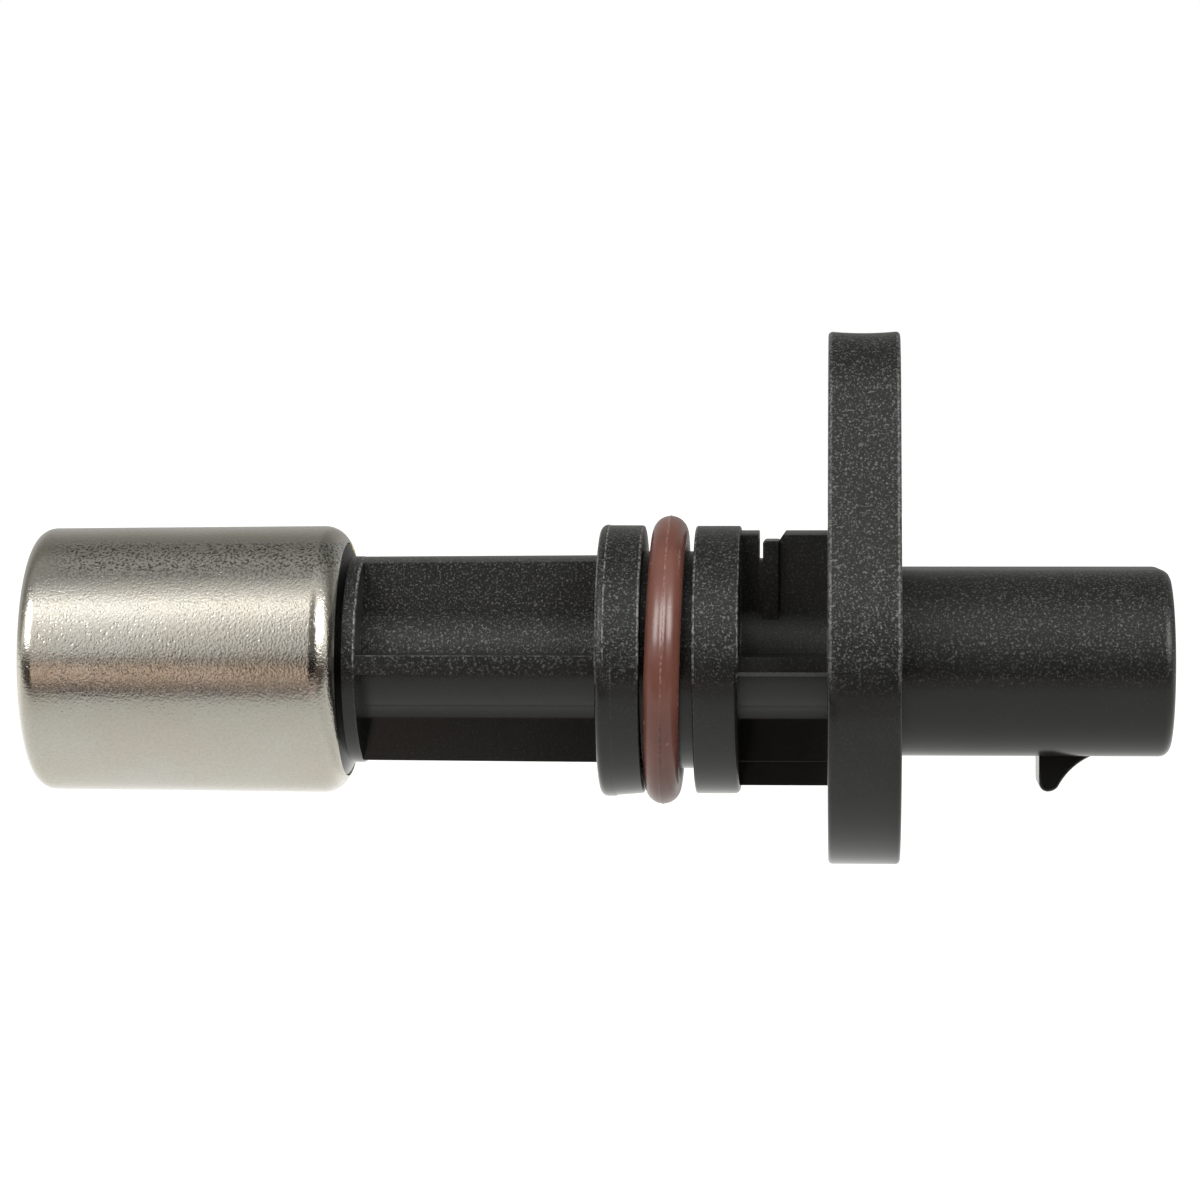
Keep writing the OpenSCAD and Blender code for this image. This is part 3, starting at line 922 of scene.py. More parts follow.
@dataclass
class Housing:
    """The one-piece plastic body, in millimetres."""

    plug_x: float = -37.494
    plug_r: float = 8.55
    seal_x: float = -36.994
    seal_w: float = 1.6
    seal_r: float = 7.15
    roll_z: float = 7.5
    roll_r: float = 1.2
    cover_r: float = 1.65
    shoulder_x: float = -32.9
    stem_r: float = 7.15
    ring_len: float = 0.9
    web_t: float = 4.4
    core_r: float = 4.1
    fillet: float = 1.5
    rib_t: float = 1.3
    rib_chamfer: float = 0.4
    front_x: float = -15.66
    groove_x: float = -12.64
    rear_x: float = -9.1
    neck_x: float = -6.0
    collar_r: float = 9.25
    groove_r: float = 7.5
    halves: tuple[MouldHalf, ...] = (
        MouldHalf(Side.UPPER, 0.0, 0.55, 9.34, 9.30, 9.29, 0.16),
        MouldHalf(Side.LOWER, 0.02, 1.05, 9.43, 9.36, 9.23, 0.4),
    )
    lead: float = 0.5
    lead_wear: float = 0.12
    witness_step: float = 0.1
    neck_r: float = 8.95
    neck_rib_r: float = 8.3
    keel_r: float = 8.65
    keel_t: float = 3.9
    slot_x: float = -4.75
    tongue_x: float = -4.45
    tongue_end: float = -3.35
    step_x: float = -2.9
    slot_z: float = 7.0
    tongue_z: float = 8.3
    tongue_t: float = 5.8
    flange_r: float = 14.1
    ear_r: float = 7.4
    rim_round: float = 0.28
    shroud_x: float = 23.1
    shroud_r: float = 6.35
    shroud_y: float = 2.85
    shroud_wall: float = 1.5
    mouth_round: float = 0.75
    mouth_inner: float = 0.25
    socket_x: float = 8.1
    lock_x: float = 14.35
    lock_len: float = 3.65
    lock_h: float = 2.5
    lock_w: float = 5.0
    lock_root: float = 0.7
    lock_tip_r: float = 0.6
    lock_lead_r: float = 0.9
    lock_lead_turn: float = 50.0
    lock_hollow_r: float = 4.7
    lock_round: float = 0.18
    soft: float = 0.16
    crisp: float = 0.06
    faint: float = 0.1
    foot: float = 0.27
    keel_foot: float = 0.12
    sunk: float = 0.02
    lap: float = 0.04
    bite: float = 0.5
    neck_bite: float = 0.3
    stem_bite: float = 0.2
    play: float = 0.05
    flash: float = 0.045
    flash_t: float = 0.06
    stem_draft: float = 0.1
    ear_sink: float = 0.1

    def shoulder(self) -> BMesh:
        """The plug under the cap, its seal groove, the cone out of the lip and the whole ring of the stem.

        Returns:
            The turned solid.
        """
        turn = math.radians(BEND_TURN)
        end_x = BEND_X + self.roll_r * math.sin(turn)
        end_z = self.roll_z + self.roll_r * math.cos(turn)
        past_x, past_z = self.play * math.cos(turn), -self.play * math.sin(turn)
        cover_x = BEND_X + self.cover_r * math.sin(turn) + past_x
        cover_z = self.roll_z + self.cover_r * math.cos(turn) + past_z
        ring_x = self.shoulder_x + self.ring_len
        line = Outline(self.plug_x, 0.0).to(self.plug_x, self.plug_r).to(self.seal_x, self.plug_r)
        line.to(self.seal_x, self.seal_r).to(self.seal_x + self.seal_w, self.seal_r)
        line.to(self.seal_x + self.seal_w, self.plug_r).to(BEND_X, self.plug_r)
        line.to(BEND_X, self.roll_z + self.roll_r).curve(end_x, end_z, self.roll_r, 1)
        line.to(end_x + past_x, end_z + past_z).to(cover_x, cover_z)
        line.to(self.shoulder_x, self.stem_r).to(ring_x - self.soft, self.stem_r)
        line.curve(ring_x, self.stem_r - self.soft, self.soft, 1, 3).to(ring_x, 0.0)
        bm = Solid.rub(line.spun(144), [(ring_x - self.soft, ring_x)])
        # The cone out of the lip is marked as cut, so that it takes a near-black painted shadow.
        cone = [f for f in bm.faces if cover_x < f.calc_center_median().x < self.shoulder_x]
        Stock.mark(bm, CUT_AND_SHADOW, cone)
        return bm

    def rib(self, radius: float, x0: float, x1: float, side: Side) -> BMesh:
        """The rib on the parting plane, with a chamfer on its edges to one side.

        Args:
            radius: Reach of the rib from the axis.
            x0: Its start along X.
            x1: Its end along X.
            side: The side with the chamfer.

        Returns:
            The closed rib.
        """
        half = self.rib_t / 2
        bm = Solid.slab(radius, x0, x1, (-radius, -half), (radius, half))
        corners = Solid.edges(bm, 30.0, True)
        Solid.soften(bm, [e for e in corners if e.verts[0].co.z * side.value > 0], self.rib_chamfer, 1)
        return bm

    def web(self, radius: float, x0: float, x1: float, width: float, low: float, high: float) -> BMesh:
        """An upright web, round above and flat below, with crisp corners.

        Args:
            radius: Reach of the web from the axis.
            x0: Its start along X.
            x1: Its end along X.
            width: Its thickness across Y.
            low: Least z.
            high: Greatest z.

        Returns:
            The closed web.
        """
        half = width / 2
        lean = math.asin(half / radius)
        angles = [lean * step / 4 for step in range(4, -5, -1)]
        top = [(radius * math.sin(a), min(high, radius * math.cos(a))) for a in angles]
        bm = Solid.bar([(half, low), *top, (-half, low)], x0, x1)
        far = [e for e in Solid.edges(bm, 30.0, True) if abs(e.verts[0].co.z) > 1.0]
        Solid.soften(bm, far, self.crisp, 2, self.faint)
        return bm

    def core(self, x0: float, x1: float, half: float) -> BMesh:
        """The round core, run out in hollow fillets on the web below it.

        Args:
            x0: Its start along X.
            x1: Its end along X.
            half: Half of the web's thickness, less what the fillets reach into it.

        Returns:
            The closed core.
        """
        r, mid_y = self.core_r, half + self.fillet
        mid_z = math.sqrt((r + self.fillet) ** 2 - mid_y**2)
        lean, rise = math.atan2(mid_z, mid_y), math.acos(half / r)
        full = [rise + (-lean - rise) * step / 40 for step in range(41)]
        near = [(r * math.cos(a), r * math.sin(a)) for a in full]
        hollow = [lean * step / 6 for step in range(5, -1, -1)]
        near += [(mid_y - self.fillet * math.cos(a), self.fillet * math.sin(a) - mid_z) for a in hollow]
        return Solid.bar(near + [(-y, z) for y, z in reversed(near)], x0, x1)

    def stem(self) -> list[BMesh]:
        """The ribbed stem between the cap and the front collar.

        Returns:
            Its overlapping solids.
        """
        x0, x1 = self.shoulder_x + self.ring_len - self.lap, self.front_x + self.stem_bite
        r = self.stem_r - self.sunk
        web = self.web(r, x0, x1, self.web_t, self.foot - r, r)
        far = [v for v in web.verts if v.co.x > (x0 + x1) / 2]
        bmesh.ops.scale(web, vec=(1.0, 1.0, 1.0 + self.stem_draft / r), verts=far)
        core = self.core(x0, x1, self.web_t / 2 - self.sunk)
        return [web, core, self.rib(r - self.sunk, x0, x1, Side.UPPER)]

    def halved(self, line: Outline, worn_and_highlight: list[Ramp], side: Side) -> BMesh:
        """Turns a collar's outline and keeps the half that one half of the mould made.

        Args:
            line: The outline.
            worn_and_highlight: Lengths along X in which edges are worn.
            side: The half to keep.

        Returns:
            The closed half, a little over half round.
        """
        way = Vector((0.0, 0.0, -float(side.value)))
        return Solid.trim(Solid.rub(line.spun(180), worn_and_highlight), way * self.lap, way)

    def front_collar(self, half: MouldHalf) -> BMesh:
        """Half of the collar in front of the ring, with its rounded lead and its witness step.

        Args:
            half: What the mould's half left.

        Returns:
            The closed half.
        """
        x0, x1, soft = self.front_x + half.inset, self.groove_x - half.inset, self.soft
        step_x = x0 + half.witness
        line = Outline(x0, 0.0).to(x0, half.lead_r - self.lead)
        line.curve(x0 + self.lead, half.lead_r, self.lead, 1, 6).to(step_x, half.lead_r)
        line.to(step_x + self.witness_step, half.step_r).to(x1 - soft, half.end_r)
        line.curve(x1, half.end_r - soft, soft, 1, 3).to(x1, 0.0)
        worn_and_highlight = [(x0, x0 + self.lead_wear), (step_x, step_x + self.witness_step), (x1 - soft, x1)]
        return self.halved(line, worn_and_highlight, half.side)

    def rear_collar(self, half: MouldHalf) -> BMesh:
        """Half of the collar behind the ring.

        Args:
            half: What the mould's half left.

        Returns:
            The closed half.
        """
        x0, x1, soft = self.rear_x + half.inset, self.neck_x - half.inset, self.soft
        r, back = self.collar_r - half.inset, half.back_round
        line = Outline(x0, 0.0).to(x0, r - soft).curve(x0 + soft, r, soft, 1, 3)
        line.to(x1 - back, r).curve(x1, r - back, back, 1, 4).to(x1, 0.0)
        return self.halved(line, [(x0, x0 + soft), (x1 - soft, x1)], half.side)

    def collars(self) -> list[BMesh]:
        """Both collars, each of two mould halves, and the floor of the groove between them.

        Returns:
            Their overlapping solids.
        """
        made = []
        for half in self.halves:
            made += [self.front_collar(half), self.rear_collar(half)]
        return [*made, Solid.rod(self.groove_r, self.groove_x - self.bite, self.rear_x + self.bite)]

    def neck(self) -> list[BMesh]:
        """The slotted neck between the rear collar and the flange.

        Returns:
            Its overlapping solids.
        """
        x0, x1 = self.neck_x - self.neck_bite, self.neck_bite
        r, half = self.neck_r, self.tongue_t / 2
        fin_rear = self.web(r, self.tongue_end - self.neck_bite, x1, self.web_t, 0.0, r)
        slope = Vector((self.tongue_z - r, 0.0, self.step_x - self.tongue_end))
        Solid.trim(fin_rear, Vector((self.step_x, 0.0, r)), slope)
        tongue = Solid.slab(r + 1.0, self.tongue_x, self.tongue_end, (-half, 0.0), (half, self.tongue_z))
        upper = [e for e in Solid.edges(tongue) if e.verts[0].co.z > 1.0]
        Solid.soften(tongue, upper, self.soft, 2, self.faint)
        return [
            self.web(self.stem_r, x0, x1, self.web_t - self.sunk, self.foot - self.stem_r, self.slot_z),
            self.core(x0, x1, self.web_t / 2 - 1.5 * self.sunk),
            self.rib(self.neck_rib_r, x0, x1, Side.LOWER),
            self.web(r, x0, self.slot_x, self.web_t, 0.0, r),
            fin_rear,
            tongue,
            self.web(self.keel_r, x0, x1, self.keel_t, self.keel_foot - self.keel_r, 0.0),
        ]

    def flange(self) -> BMesh:
        """The teardrop flange, with a rounded rim that is a little sunk along the middle of its ear.

        Returns:
            The closed plate.
        """
        r, ear = self.flange_r - self.flash - self.sunk, self.ear_r - self.sunk
        bm = Solid.pair_hull(r, ear, (0.0, 0.0), (0.0, BOLT_Z), 0.0, FLANGE_T, 168)
        Solid.soften(bm, Solid.edges(bm, 60.0, False), self.rim_round, 4, 0.5)
        sides = [e for e in bm.edges if Solid.runs_along(e)]
        bmesh.ops.subdivide_edges(bm, edges=sides, cuts=5, use_grid_fill=True)
        middle, reach = FLANGE_T / 2, FLANGE_T / 2 - self.rim_round
        for v in bm.verts:
            share = 1.0 - ((v.co.x - middle) / reach) ** 2
            out = Vector((0.0, v.co.y, v.co.z - BOLT_Z))
            if share > 0.01 and out.z > 0.0:
                v.co -= out.normalized() * self.ear_sink * share * (out.z / out.length) ** 2
        return bm

    def shroud_hull(self, grown: float, x0: float, x1: float) -> BMesh:
        """A plate with the shroud's round-ended outline, grown all round.

        Args:
            grown: How far it stands out from the shroud.
            x0: Its start along X.
            x1: Its end along X.

        Returns:
            The closed plate.
        """
        r, y = self.shroud_r + grown, self.shroud_y
        return Solid.pair_hull(r, r, (-y, 0.0), (y, 0.0), x0, x1, 96)

    def shroud(self) -> BMesh:
        """The connector's round-ended shroud with its socket.

        Returns:
            The closed shell.
        """
        mouth_x = self.shroud_x - 0.01
        bm = self.shroud_hull(0.0, FLANGE_T - self.bite, self.shroud_x)
        rim = [e for e in Solid.edges(bm, 60.0, False) if e.verts[0].co.x > mouth_x]
        Solid.soften(bm, rim, self.mouth_round, 5, self.faint)
        mouth = max(bm.faces, key=lambda f: (round(f.calc_center_median().x, 3), f.calc_area()))
        wall = self.shroud_wall - self.mouth_round
        bmesh.ops.inset_region(bm, faces=[mouth], thickness=wall, use_even_offset=True)
        Stock.draw_out(bm, mouth, (self.socket_x - self.shroud_x, 0.0, 0.0))
        stale = [f for f in bm.faces if f == mouth]
        bmesh.ops.delete(bm, geom=stale, context="FACES_ONLY")
        corners = Solid.edges(bm, 60.0, False)
        Solid.soften(bm, [e for e in corners if all(v.co.x > mouth_x for v in e.verts)], self.mouth_inner, 3)
        bmesh.ops.recalc_face_normals(bm, faces=bm.faces[:])
        return bm

    def lock_ramp(self) -> BMesh:
        """The ramp under the shroud that a plug's latch snaps behind.

        Returns:
            The closed ramp.
        """
        base = -self.shroud_r
        x, end_x, root = self.lock_x, self.lock_x + self.lock_len, base + self.lock_root
        bottom, tip_r, lead_r = base - self.lock_h, self.lock_tip_r, self.lock_lead_r
        turn = math.radians(self.lock_lead_turn)
        line = Outline(x, root).to(x, bottom + tip_r).curve(x + tip_r, bottom, tip_r, -1, 6)
        line.curve(x + tip_r + lead_r * math.sin(turn), bottom + lead_r * (1 - math.cos(turn)), lead_r, -1, 5)
        line.curve(end_x, base, self.lock_hollow_r, 1, 10).to(end_x, root)
        bm = line.across(self.lock_w)
        free = [e for e in Solid.edges(bm, 60.0) if e.verts[0].co.z < base - 0.05]
        Solid.soften(bm, free, self.lock_round, 2)
        return bm

    def flash_lines(self) -> list[BMesh]:
        """The thin lines of flash where the mould's halves met.

        Returns:
            Thin plates that stand just proud of the parting plane.
        """
        half = self.flash_t / 2
        made = []
        for r, x0, x1 in (
            (self.collar_r + self.flash, self.front_x + 0.4, self.groove_x - 0.2),
            (self.collar_r + self.flash, self.rear_x + 0.2, self.neck_x - 0.45),
            (self.flange_r - self.sunk, 0.5, FLANGE_T - 0.5),
        ):
            made.append(Solid.slab(r, x0, x1, (-r, -half), (r, half)))
        plate = self.shroud_hull(self.flash, FLANGE_T - 0.4, self.socket_x - 0.5)
        for way in (1.0, -1.0):
            Solid.trim(plate, Vector((0.0, 0.0, half * way)), Vector((0.0, 0.0, way)))
        return [*made, plate]

    def build(self) -> bpy.types.Object:
        """Joins the whole moulding.

        Returns:
            The finished piece.
        """
        solids = [self.flange(), self.shroud(), self.lock_ramp(), self.shoulder()]
        solids += self.stem() + self.collars() + self.neck() + self.flash_lines()
        holes = [Solid.rod(BUSHING_R, -1.0, FLANGE_T + 1.0, (0.0, BOLT_Z))]
        whole = Bench.joined(solids, holes)
        return Bench.piece(whole, "housing_body", "housing", "black_plastic", BLACK_PLASTIC)


@dataclass
class TipCap:
    """The drawn steel cup over the tip, in millimetres."""

    tip_x: float = -54.95
    wall: float = 0.5
    radius: float = 9.25
    draft: float = 0.15
    corner: float = 1.3
    bend_r: float = 1.75
    side_steps: int = 8
    edge_reach: float = 0.06

    def build(self) -> bpy.types.Object:
        """Turns the cup from its section.

        Returns:
            The finished piece.
        """
        tip_r, corner_x = self.radius - self.draft, self.tip_x + self.corner
        turn = math.radians(BEND_TURN)
        bend_z = self.radius - self.bend_r
        inner_bend = self.bend_r - self.wall
        floor_x = self.tip_x + self.wall
        inner_corner = self.corner - self.wall
        lip_x, lip_z = BEND_X + self.bend_r * math.sin(turn), bend_z + self.bend_r * math.cos(turn)
        in_x, in_z = BEND_X + inner_bend * math.sin(turn), bend_z + inner_bend * math.cos(turn)
        line = Outline(self.tip_x, 0.0).to(self.tip_x, tip_r - self.corner)
        line.curve(corner_x, tip_r, self.corner, 1, 12)
        for step in range(1, self.side_steps + 1):
            share = step / self.side_steps
            line.to(corner_x + (BEND_X - self.tip_x - self.corner) * share, tip_r + self.draft * share)
        line.curve(lip_x, lip_z, self.bend_r, 1, 14).to(in_x, in_z)
        line.curve(BEND_X, self.radius - self.wall, inner_bend, -1, 10)
        line.to(corner_x, tip_r - self.wall)
        line.curve(floor_x, tip_r - self.corner, inner_corner, -1, 8).to(floor_x, 0.0)
        bm = line.spun(192)
        edge = Vector(((lip_x + in_x) / 2, (lip_z + in_z) / 2))
        centres = [(f, f.calc_center_median()) for f in bm.faces]
        bare = [f for f, c in centres if (Vector((c.x, c.yz.length)) - edge).length < self.edge_reach]
        Stock.mark(bm, CUT_AND_SHADOW, bare)
        return Bench.piece(bm, "tip_cap", "steel_cap", "cap_steel", CAP_STEEL)


@dataclass
class SealingRing:
    """The ring between the collars, a little askew, in millimetres."""

    middle_x: float = -11.106
    ring_r: float = 8.75
    thickness: float = 2.4
    tilt: float = 1.6
    line_w: float = 0.14
    line_h: float = 0.035

    def build(self) -> bpy.types.Object:
        """Turns the ring from its round section with a low mould line on its outside.

        Returns:
            The finished piece.
        """
        r, z, half = self.thickness / 2, self.ring_r, self.line_w / 2
        rise = math.sqrt(r * r - half * half)
        line = Outline(half, z + rise).curve(r, z, r, 1, 12).curve(0.0, z - r, r, 1, 12)
        line.curve(-r, z, r, 1, 12).curve(-half, z + rise, r, 1, 12)
        line.to(-half / 3, z + r + self.line_h).to(half / 3, z + r + self.line_h)
        bm = line.ring(224)
        Stock.mark(bm, WORN, [f for f in bm.faces if f.calc_center_median().yz.length > z + rise])
        askew = Matrix.Rotation(math.radians(self.tilt), 4, "Y")
        place = Matrix.Translation((self.middle_x, 0.0, 0.0)) @ askew
        bmesh.ops.transform(bm, matrix=place, verts=bm.verts[:])
        return Bench.piece(bm, "sealing_ring", "o_ring", "ring_rubber", RING_RUBBER, 60.0)


@dataclass
class Bushing:
    """The metal sleeve in the bolt ear, in millimetres."""

    bore_r: float = 3.3
    waist: float = 0.3
    chamfer: float = 0.3

    def build(self) -> bpy.types.Object:
        """Turns the sleeve from its section and sets it in the ear.

        Returns:
            The finished piece.
        """
        third, end, c = FLANGE_T / 3, FLANGE_T, self.chamfer
        outer, waist_r, bore = BUSHING_R, BUSHING_R - self.waist, self.bore_r
        line = Outline(0.0, bore + c).to(0.0, outer).to(third, outer)
        line.to(third + self.waist, waist_r).to(2 * third - self.waist, waist_r)
        line.to(2 * third, outer).to(end, outer).to(end, bore + c)
        line.curve(end - c, bore, c, -1, 4).to(c, bore).curve(0.0, bore + c, c, -1, 4)
        bm = line.spun(128)
        bmesh.ops.translate(bm, verts=bm.verts[:], vec=(0.0, 0.0, BOLT_Z))
        return Bench.piece(bm, "bolt_bushing", "flange_bushing", "bushing_steel", BUSHING_STEEL)


@dataclass
class Blade:
    """One stamped terminal from the coil to the socket, in millimetres."""

    side: Side
    post_x: float = -41.694
    post_y: float = 5.925
    run_y: float = 2.0
    run_w: float = 1.2
    front_x: float = -35.494
    rear_x: float = 2.45
    pin_y: float = 3.25
    pin_w: float = 1.5
    tip_x: float = 18.5
    taper: float = 1.2
    thickness: float = 0.8
    coined: float = 0.08

    def build(self) -> bpy.types.Object:
        """Stamps the strip from its outline and coins its edges.

        Returns:
            The finished piece.
        """
        half, w = self.run_w / 2, self.pin_w
        front, rear = self.front_x + self.run_w, self.rear_x + self.run_w
        line = Outline(self.post_x, self.post_y - half)
        line.to(self.front_x, self.post_y - half).to(self.front_x, self.run_y - half)
        line.to(rear, self.run_y - half).to(rear, self.pin_y - w / 2)
        line.to(self.tip_x - self.taper, self.pin_y - w / 2).to(self.tip_x, self.pin_y - w / 4)
        line.to(self.tip_x, self.pin_y + w / 4).to(self.tip_x - self.taper, self.pin_y + w / 2)
        line.to(self.rear_x, self.pin_y + w / 2).to(self.rear_x, self.run_y + half)
        line.to(front, self.run_y + half).to(front, self.post_y + half)
        bm = line.to(self.post_x, self.post_y + half).across(self.thickness)
        Solid.soften(bm, Solid.edges(bm, 60.0), self.coined, 2)
        flat = Matrix.Rotation(math.radians(-90.0), 4, "X")
        bmesh.ops.transform(bm, matrix=flat, verts=bm.verts[:])
        if self.side is Side.LOWER:
            bmesh.ops.scale(bm, vec=(1.0, -1.0, 1.0), verts=bm.verts[:])
            bmesh.ops.reverse_faces(bm, faces=bm.faces[:])
        hand = "left" if self.side is Side.UPPER else "right"
        return Bench.piece(bm, f"blade_{hand}", f"terminal_{hand}", "terminal_brass", BLADE_TIN)


@dataclass
class InnerParts:
    """The sensing parts inside the cap, which keep their solids' own shapes."""

    finishes: tuple[tuple[str, Finish], ...] = (
        ("cap_seal", SEAL_RUBBER),
        ("bobbin", BOBBIN_NYLON),
        ("coil_winding", COPPER_TURNS),
        ("coil_tape", TAPE_WRAP),
        ("pole_piece", POLE_IRON),
        ("magnet", MAGNET_BODY),
    )

    def dress(self) -> None:
        """Gives each node its finish."""
        for node, finish in self.finishes:
            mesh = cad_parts[node].data
            mesh.materials.clear()
            mesh.materials.append(finish.material())
            log.info("%s: %s", node, finish.name)


@dataclass
class Studio:
    """A pale floor, soft light and the camera, in metres and degrees.

    The pitch of the light is 0 in front of the part and rises over its top.
    The pan of the light is 0 in front of the part and negative to its left.
    """

    eye: tuple[float, float, float] = (0.0012, -0.2638, 0.0155)
    aim: tuple[float, float, float] = (-0.015777, 0.0, 0.00412)
    roll: float = 0.002
    lens: float = 114.7
    floor_z: float = -0.05
    floor_front: float = -0.094
    floor_reach: float = 3.0
    paper: Colour = (0.58, 0.578, 0.565)
    paper_shine: Colour = (1.0, 1.0, 0.985)
    lamp_y: float = -0.44
    lamp_z: float = 0.36
    lamp_size: float = 0.36
    lamp_watts: float = 2.2
    front_pan: Window = ((-8.2, -7.2), (28.0, 36.0))
    stand_pitch: Window = ((-15.0, -9.0), (56.0, 64.0))
    lift_pitch: Window = ((-33.0, -29.0), (-19.0, -16.0))
    lift: float = 4.6
    wall_pan: Window = ((-100.0, -80.0), (-24.0, -17.0))
    strip_pan: Window = ((-24.0, -17.0), (-8.2, -7.2))
    gap_pitch: Window = ((-20.0, -17.0), (0.0, 6.0))
    sky: tuple[tuple[float, Colour], ...] = (
        (-180.0, (0.50, 0.50, 0.48)),
        (-32.0, (0.20, 0.19, 0.17)),
        (-28.0, (0.06, 0.05, 0.05)),
        (-20.0, (0.06, 0.05, 0.05)),
        (-17.5, (0.52, 0.42, 0.35)),
        (-12.0, (0.64, 0.50, 0.41)),
        (-3.0, (0.84, 0.67, 0.55)),
        (-1.0, (0.24, 0.21, 0.19)),
        (0.5, (0.06, 0.05, 0.05)),
        (2.8, (0.08, 0.07, 0.07)),
        (4.5, (0.58, 0.57, 0.56)),
        (9.0, (0.66, 0.65, 0.64)),
        (18.0, (0.71, 0.70, 0.69)),
        (28.0, (0.86, 0.85, 0.83)),
        (38.0, (1.06, 1.05, 1.03)),
        (47.0, (1.50, 1.49, 1.46)),
        (54.0, (1.80, 1.78, 1.74)),
        (57.0, (1.04, 1.03, 1.01)),
        (64.0, (0.88, 0.87, 0.85)),
        (72.0, (0.60, 0.60, 0.58)),
        (83.0, (0.34, 0.34, 0.33)),
        (88.0, (0.50, 0.50, 0.48)),
        (93.0, (0.15, 0.15, 0.14)),
        (99.0, (0.36, 0.36, 0.34)),
        (104.0, (0.10, 0.10, 0.09)),
        (110.0, (0.26, 0.26, 0.25)),
        (117.0, (0.06, 0.06, 0.05)),
        (124.0, (0.24, 0.24, 0.23)),
        (130.0, (0.16, 0.16, 0.15)),
        (148.0, (0.30, 0.30, 0.29)),
        (180.0, (0.42, 0.42, 0.41)),
    )

    def camera(self) -> None:
        """Sets the camera at the photograph's viewing angle."""
        data = bpy.data.cameras.new("view")
        data.lens = self.lens
        data.clip_start, data.clip_end = 0.01, 50.0
        camera = bpy.data.objects.new("view", data)
        camera.location = self.eye
        way = Vector(self.aim) - Vector(self.eye)
        turn = Matrix.Rotation(-self.roll, 4, "Z")
        camera.rotation_euler = (way.to_track_quat("-Z", "Y").to_matrix().to_4x4() @ turn).to_euler()
        bpy.context.scene.collection.objects.link(camera)
        bpy.context.scene.camera = camera

    def sky_colour(self, sheet: Sheet, pitch: Socket) -> Socket:
        """The room's colour from the floor in front, over the top, to the floor behind.

        Args:
            sheet: The world's nodes.
            pitch: Where the light comes from, in degrees.

        Returns:
            The colour.
        """
        ramp = sheet.add("ValToRGB", None, Fac=sheet.span(pitch, -180.0, 180.0, 0.0, 1.0))
        stops = ramp.color_ramp.elements
        while len(stops) > 1:
            stops.remove(stops[-1])
        for number, (angle, colour) in enumerate(self.sky):
            place = (angle + 180.0) / 360.0
            stop = stops[0] if number == 0 else stops.new(place)
            stop.position = place
            stop.color = (*colour, 1.0)
        return ramp.outputs["Color"]

    def sky_strength(self, sheet: Sheet, pitch: Socket, pan: Socket) -> Socket:
        """The room's strength, with a dark stand in front and a dull wall to the left.

        Args:
            sheet: The world's nodes.
            pitch: Where the light comes from, in degrees.
            pan: How far to the side it comes from, in degrees.

        Returns:
            The strength.
        """
        front = sheet.window(pan, self.front_pan)
        stand = sheet.product(
            front, sheet.window(pitch, self.stand_pitch), sheet.span(pitch, 3.0, 7.0, 0.94, 0.8)
        )
        lift = sheet.product(front, sheet.window(pitch, self.lift_pitch), self.lift)
        room = sheet.math("SUBTRACT", sheet.math("ADD", 1.0, lift), stand)
        left = sheet.span(pan, -15.0, -8.0, 1.25, 1.0)
        wall = sheet.dip(pan, self.wall_pan, 0.55)
        strip = sheet.window(pan, self.strip_pan)
        open_strip = sheet.math("MAXIMUM", strip, sheet.dip(pitch, self.gap_pitch, 0.12))
        return sheet.product(left, wall, open_strip, room)

    def light(self) -> None:
        """Lights the part with a soft room that is brightest in front and above, on white."""
        world = bpy.data.worlds.new("soft_room")
        bpy.context.scene.world = world
        world.use_nodes = True
        world.node_tree.nodes.clear()
        sheet = Sheet(world.node_tree)
        way = sheet.axes(sheet.add("TexCoord").outputs["Generated"])
        front = sheet.product(way["Y"], -1.0)
        pitch = sheet.math("DEGREES", sheet.math("ARCTAN2", way["Z"], front))
        pan = sheet.math("DEGREES", sheet.math("ARCTAN2", way["X"], front))
        strength = self.sky_strength(sheet, pitch, pan)
        room = sheet.add("Background", None, Color=self.sky_colour(sheet, pitch), Strength=strength)
        white = sheet.add("Background", None, Color=(1.0, 1.0, 1.0), Strength=1.0)
        both = sheet.add("MixShader", None, in0=sheet.seen(), in1=room.outputs[0], in2=white.outputs[0])
        sheet.add("OutputWorld", None, Surface=both.outputs[0])

    def lamp(self, name: str, x: float) -> None:
        """Adds one soft lamp that points at the part.

        Args:
            name: The lamp's name.
            x: Its place along X.
        """
        data = bpy.data.lights.new(name, "AREA")
        data.size = self.lamp_size
        data.energy = self.lamp_watts
        lamp = bpy.data.objects.new(name, data)
        lamp.location = (x, self.lamp_y, self.lamp_z)
        way = Vector(self.aim) - Vector(lamp.location)
        lamp.rotation_euler = way.to_track_quat("-Z", "Y").to_euler()
        lamp.visible_camera = False
        bpy.context.scene.collection.objects.link(lamp)

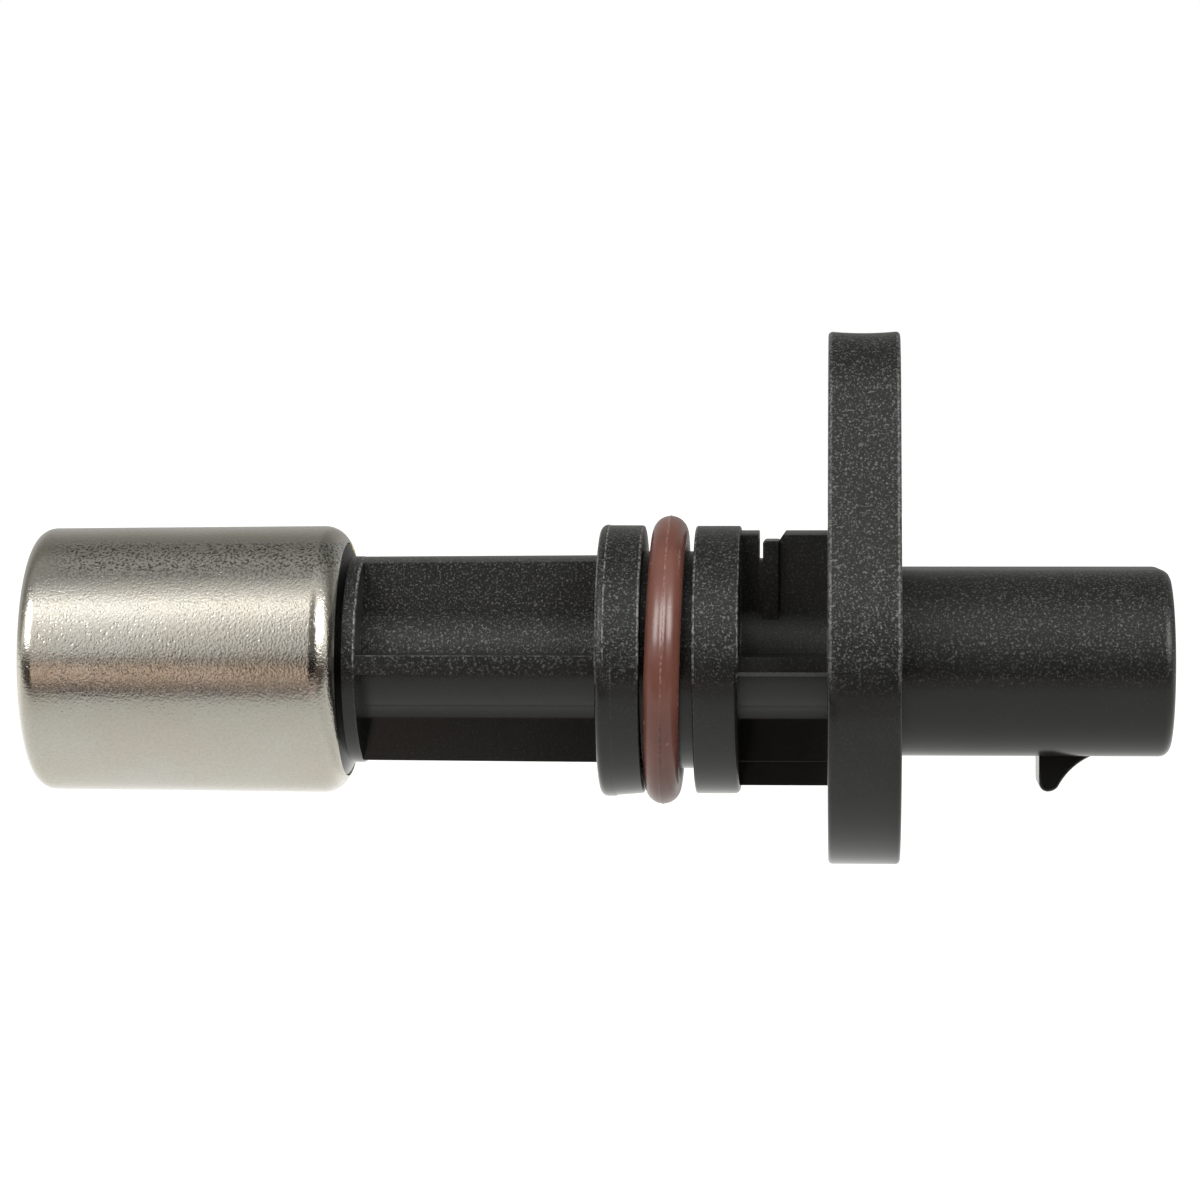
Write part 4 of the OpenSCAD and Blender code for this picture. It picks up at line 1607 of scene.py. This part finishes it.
    def floor_material(self) -> bpy.types.Material:
        """White paper that shows white to the camera and glows behind the part in what is glossy.

        Returns:
            The material.
        """
        made = bpy.data.materials.new("white_sheet")
        made.use_nodes = True
        made.node_tree.nodes.clear()
        sheet = Sheet(made.node_tree)
        axes = sheet.axes(sheet.add("TexCoord").outputs["Object"])
        back = sheet.product(
            sheet.add("LightPath").outputs["Is Glossy Ray"],
            sheet.span(axes["Y"], -0.08, 0.12, 0.02, 0.66),
            sheet.span(axes["X"], 0.0, 0.012, 1.0, 0.58),
        )
        glow = sheet.math("MAXIMUM", sheet.product(sheet.seen(), 0.85), back)
        paper = sheet.add("BsdfDiffuse", None, Color=self.paper)
        shine = sheet.add("Emission", None, Color=self.paper_shine, Strength=glow)
        both = sheet.add("AddShader", None, in0=paper.outputs[0], in1=shine.outputs[0])
        sheet.add("OutputMaterial", None, Surface=both.outputs[0])
        return made

    def floor(self) -> None:
        """Lays a white sheet below the part, which shows white and keeps the shadow."""
        bm = bmesh.new()
        bmesh.ops.create_grid(bm, x_segments=1, y_segments=1, size=0.5)
        deep = self.floor_reach - self.floor_front
        bmesh.ops.scale(bm, vec=(2 * self.floor_reach, deep, 1.0), verts=bm.verts[:])
        middle = (self.floor_reach + self.floor_front) / 2
        bmesh.ops.translate(bm, vec=(0.0, middle, self.floor_z), verts=bm.verts[:])
        mesh = bpy.data.meshes.new("white_sheet")
        bm.to_mesh(mesh)
        bm.free()
        mesh.materials.append(self.floor_material())
        sheet_obj = bpy.data.objects.new("white_sheet", mesh)
        bpy.context.scene.collection.objects.link(sheet_obj)

    def build(self) -> None:
        """Sets up camera, lights and floor."""
        self.camera()
        self.light()
        self.lamp("left_softbox", -0.50)
        self.lamp("right_softbox", 0.46)
        self.floor()
        bpy.context.scene.view_settings.view_transform = "Standard"


def main() -> None:
    """Builds the pieces in order."""
    logging.basicConfig(level=logging.INFO, format="%(name)s: %(message)s")
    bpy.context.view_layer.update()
    Studio().build()
    Housing().build()
    TipCap().build()
    SealingRing().build()
    Bushing().build()
    for side in Side:
        Blade(side).build()
    InnerParts().dress()


if __name__ == "__main__":
    main()
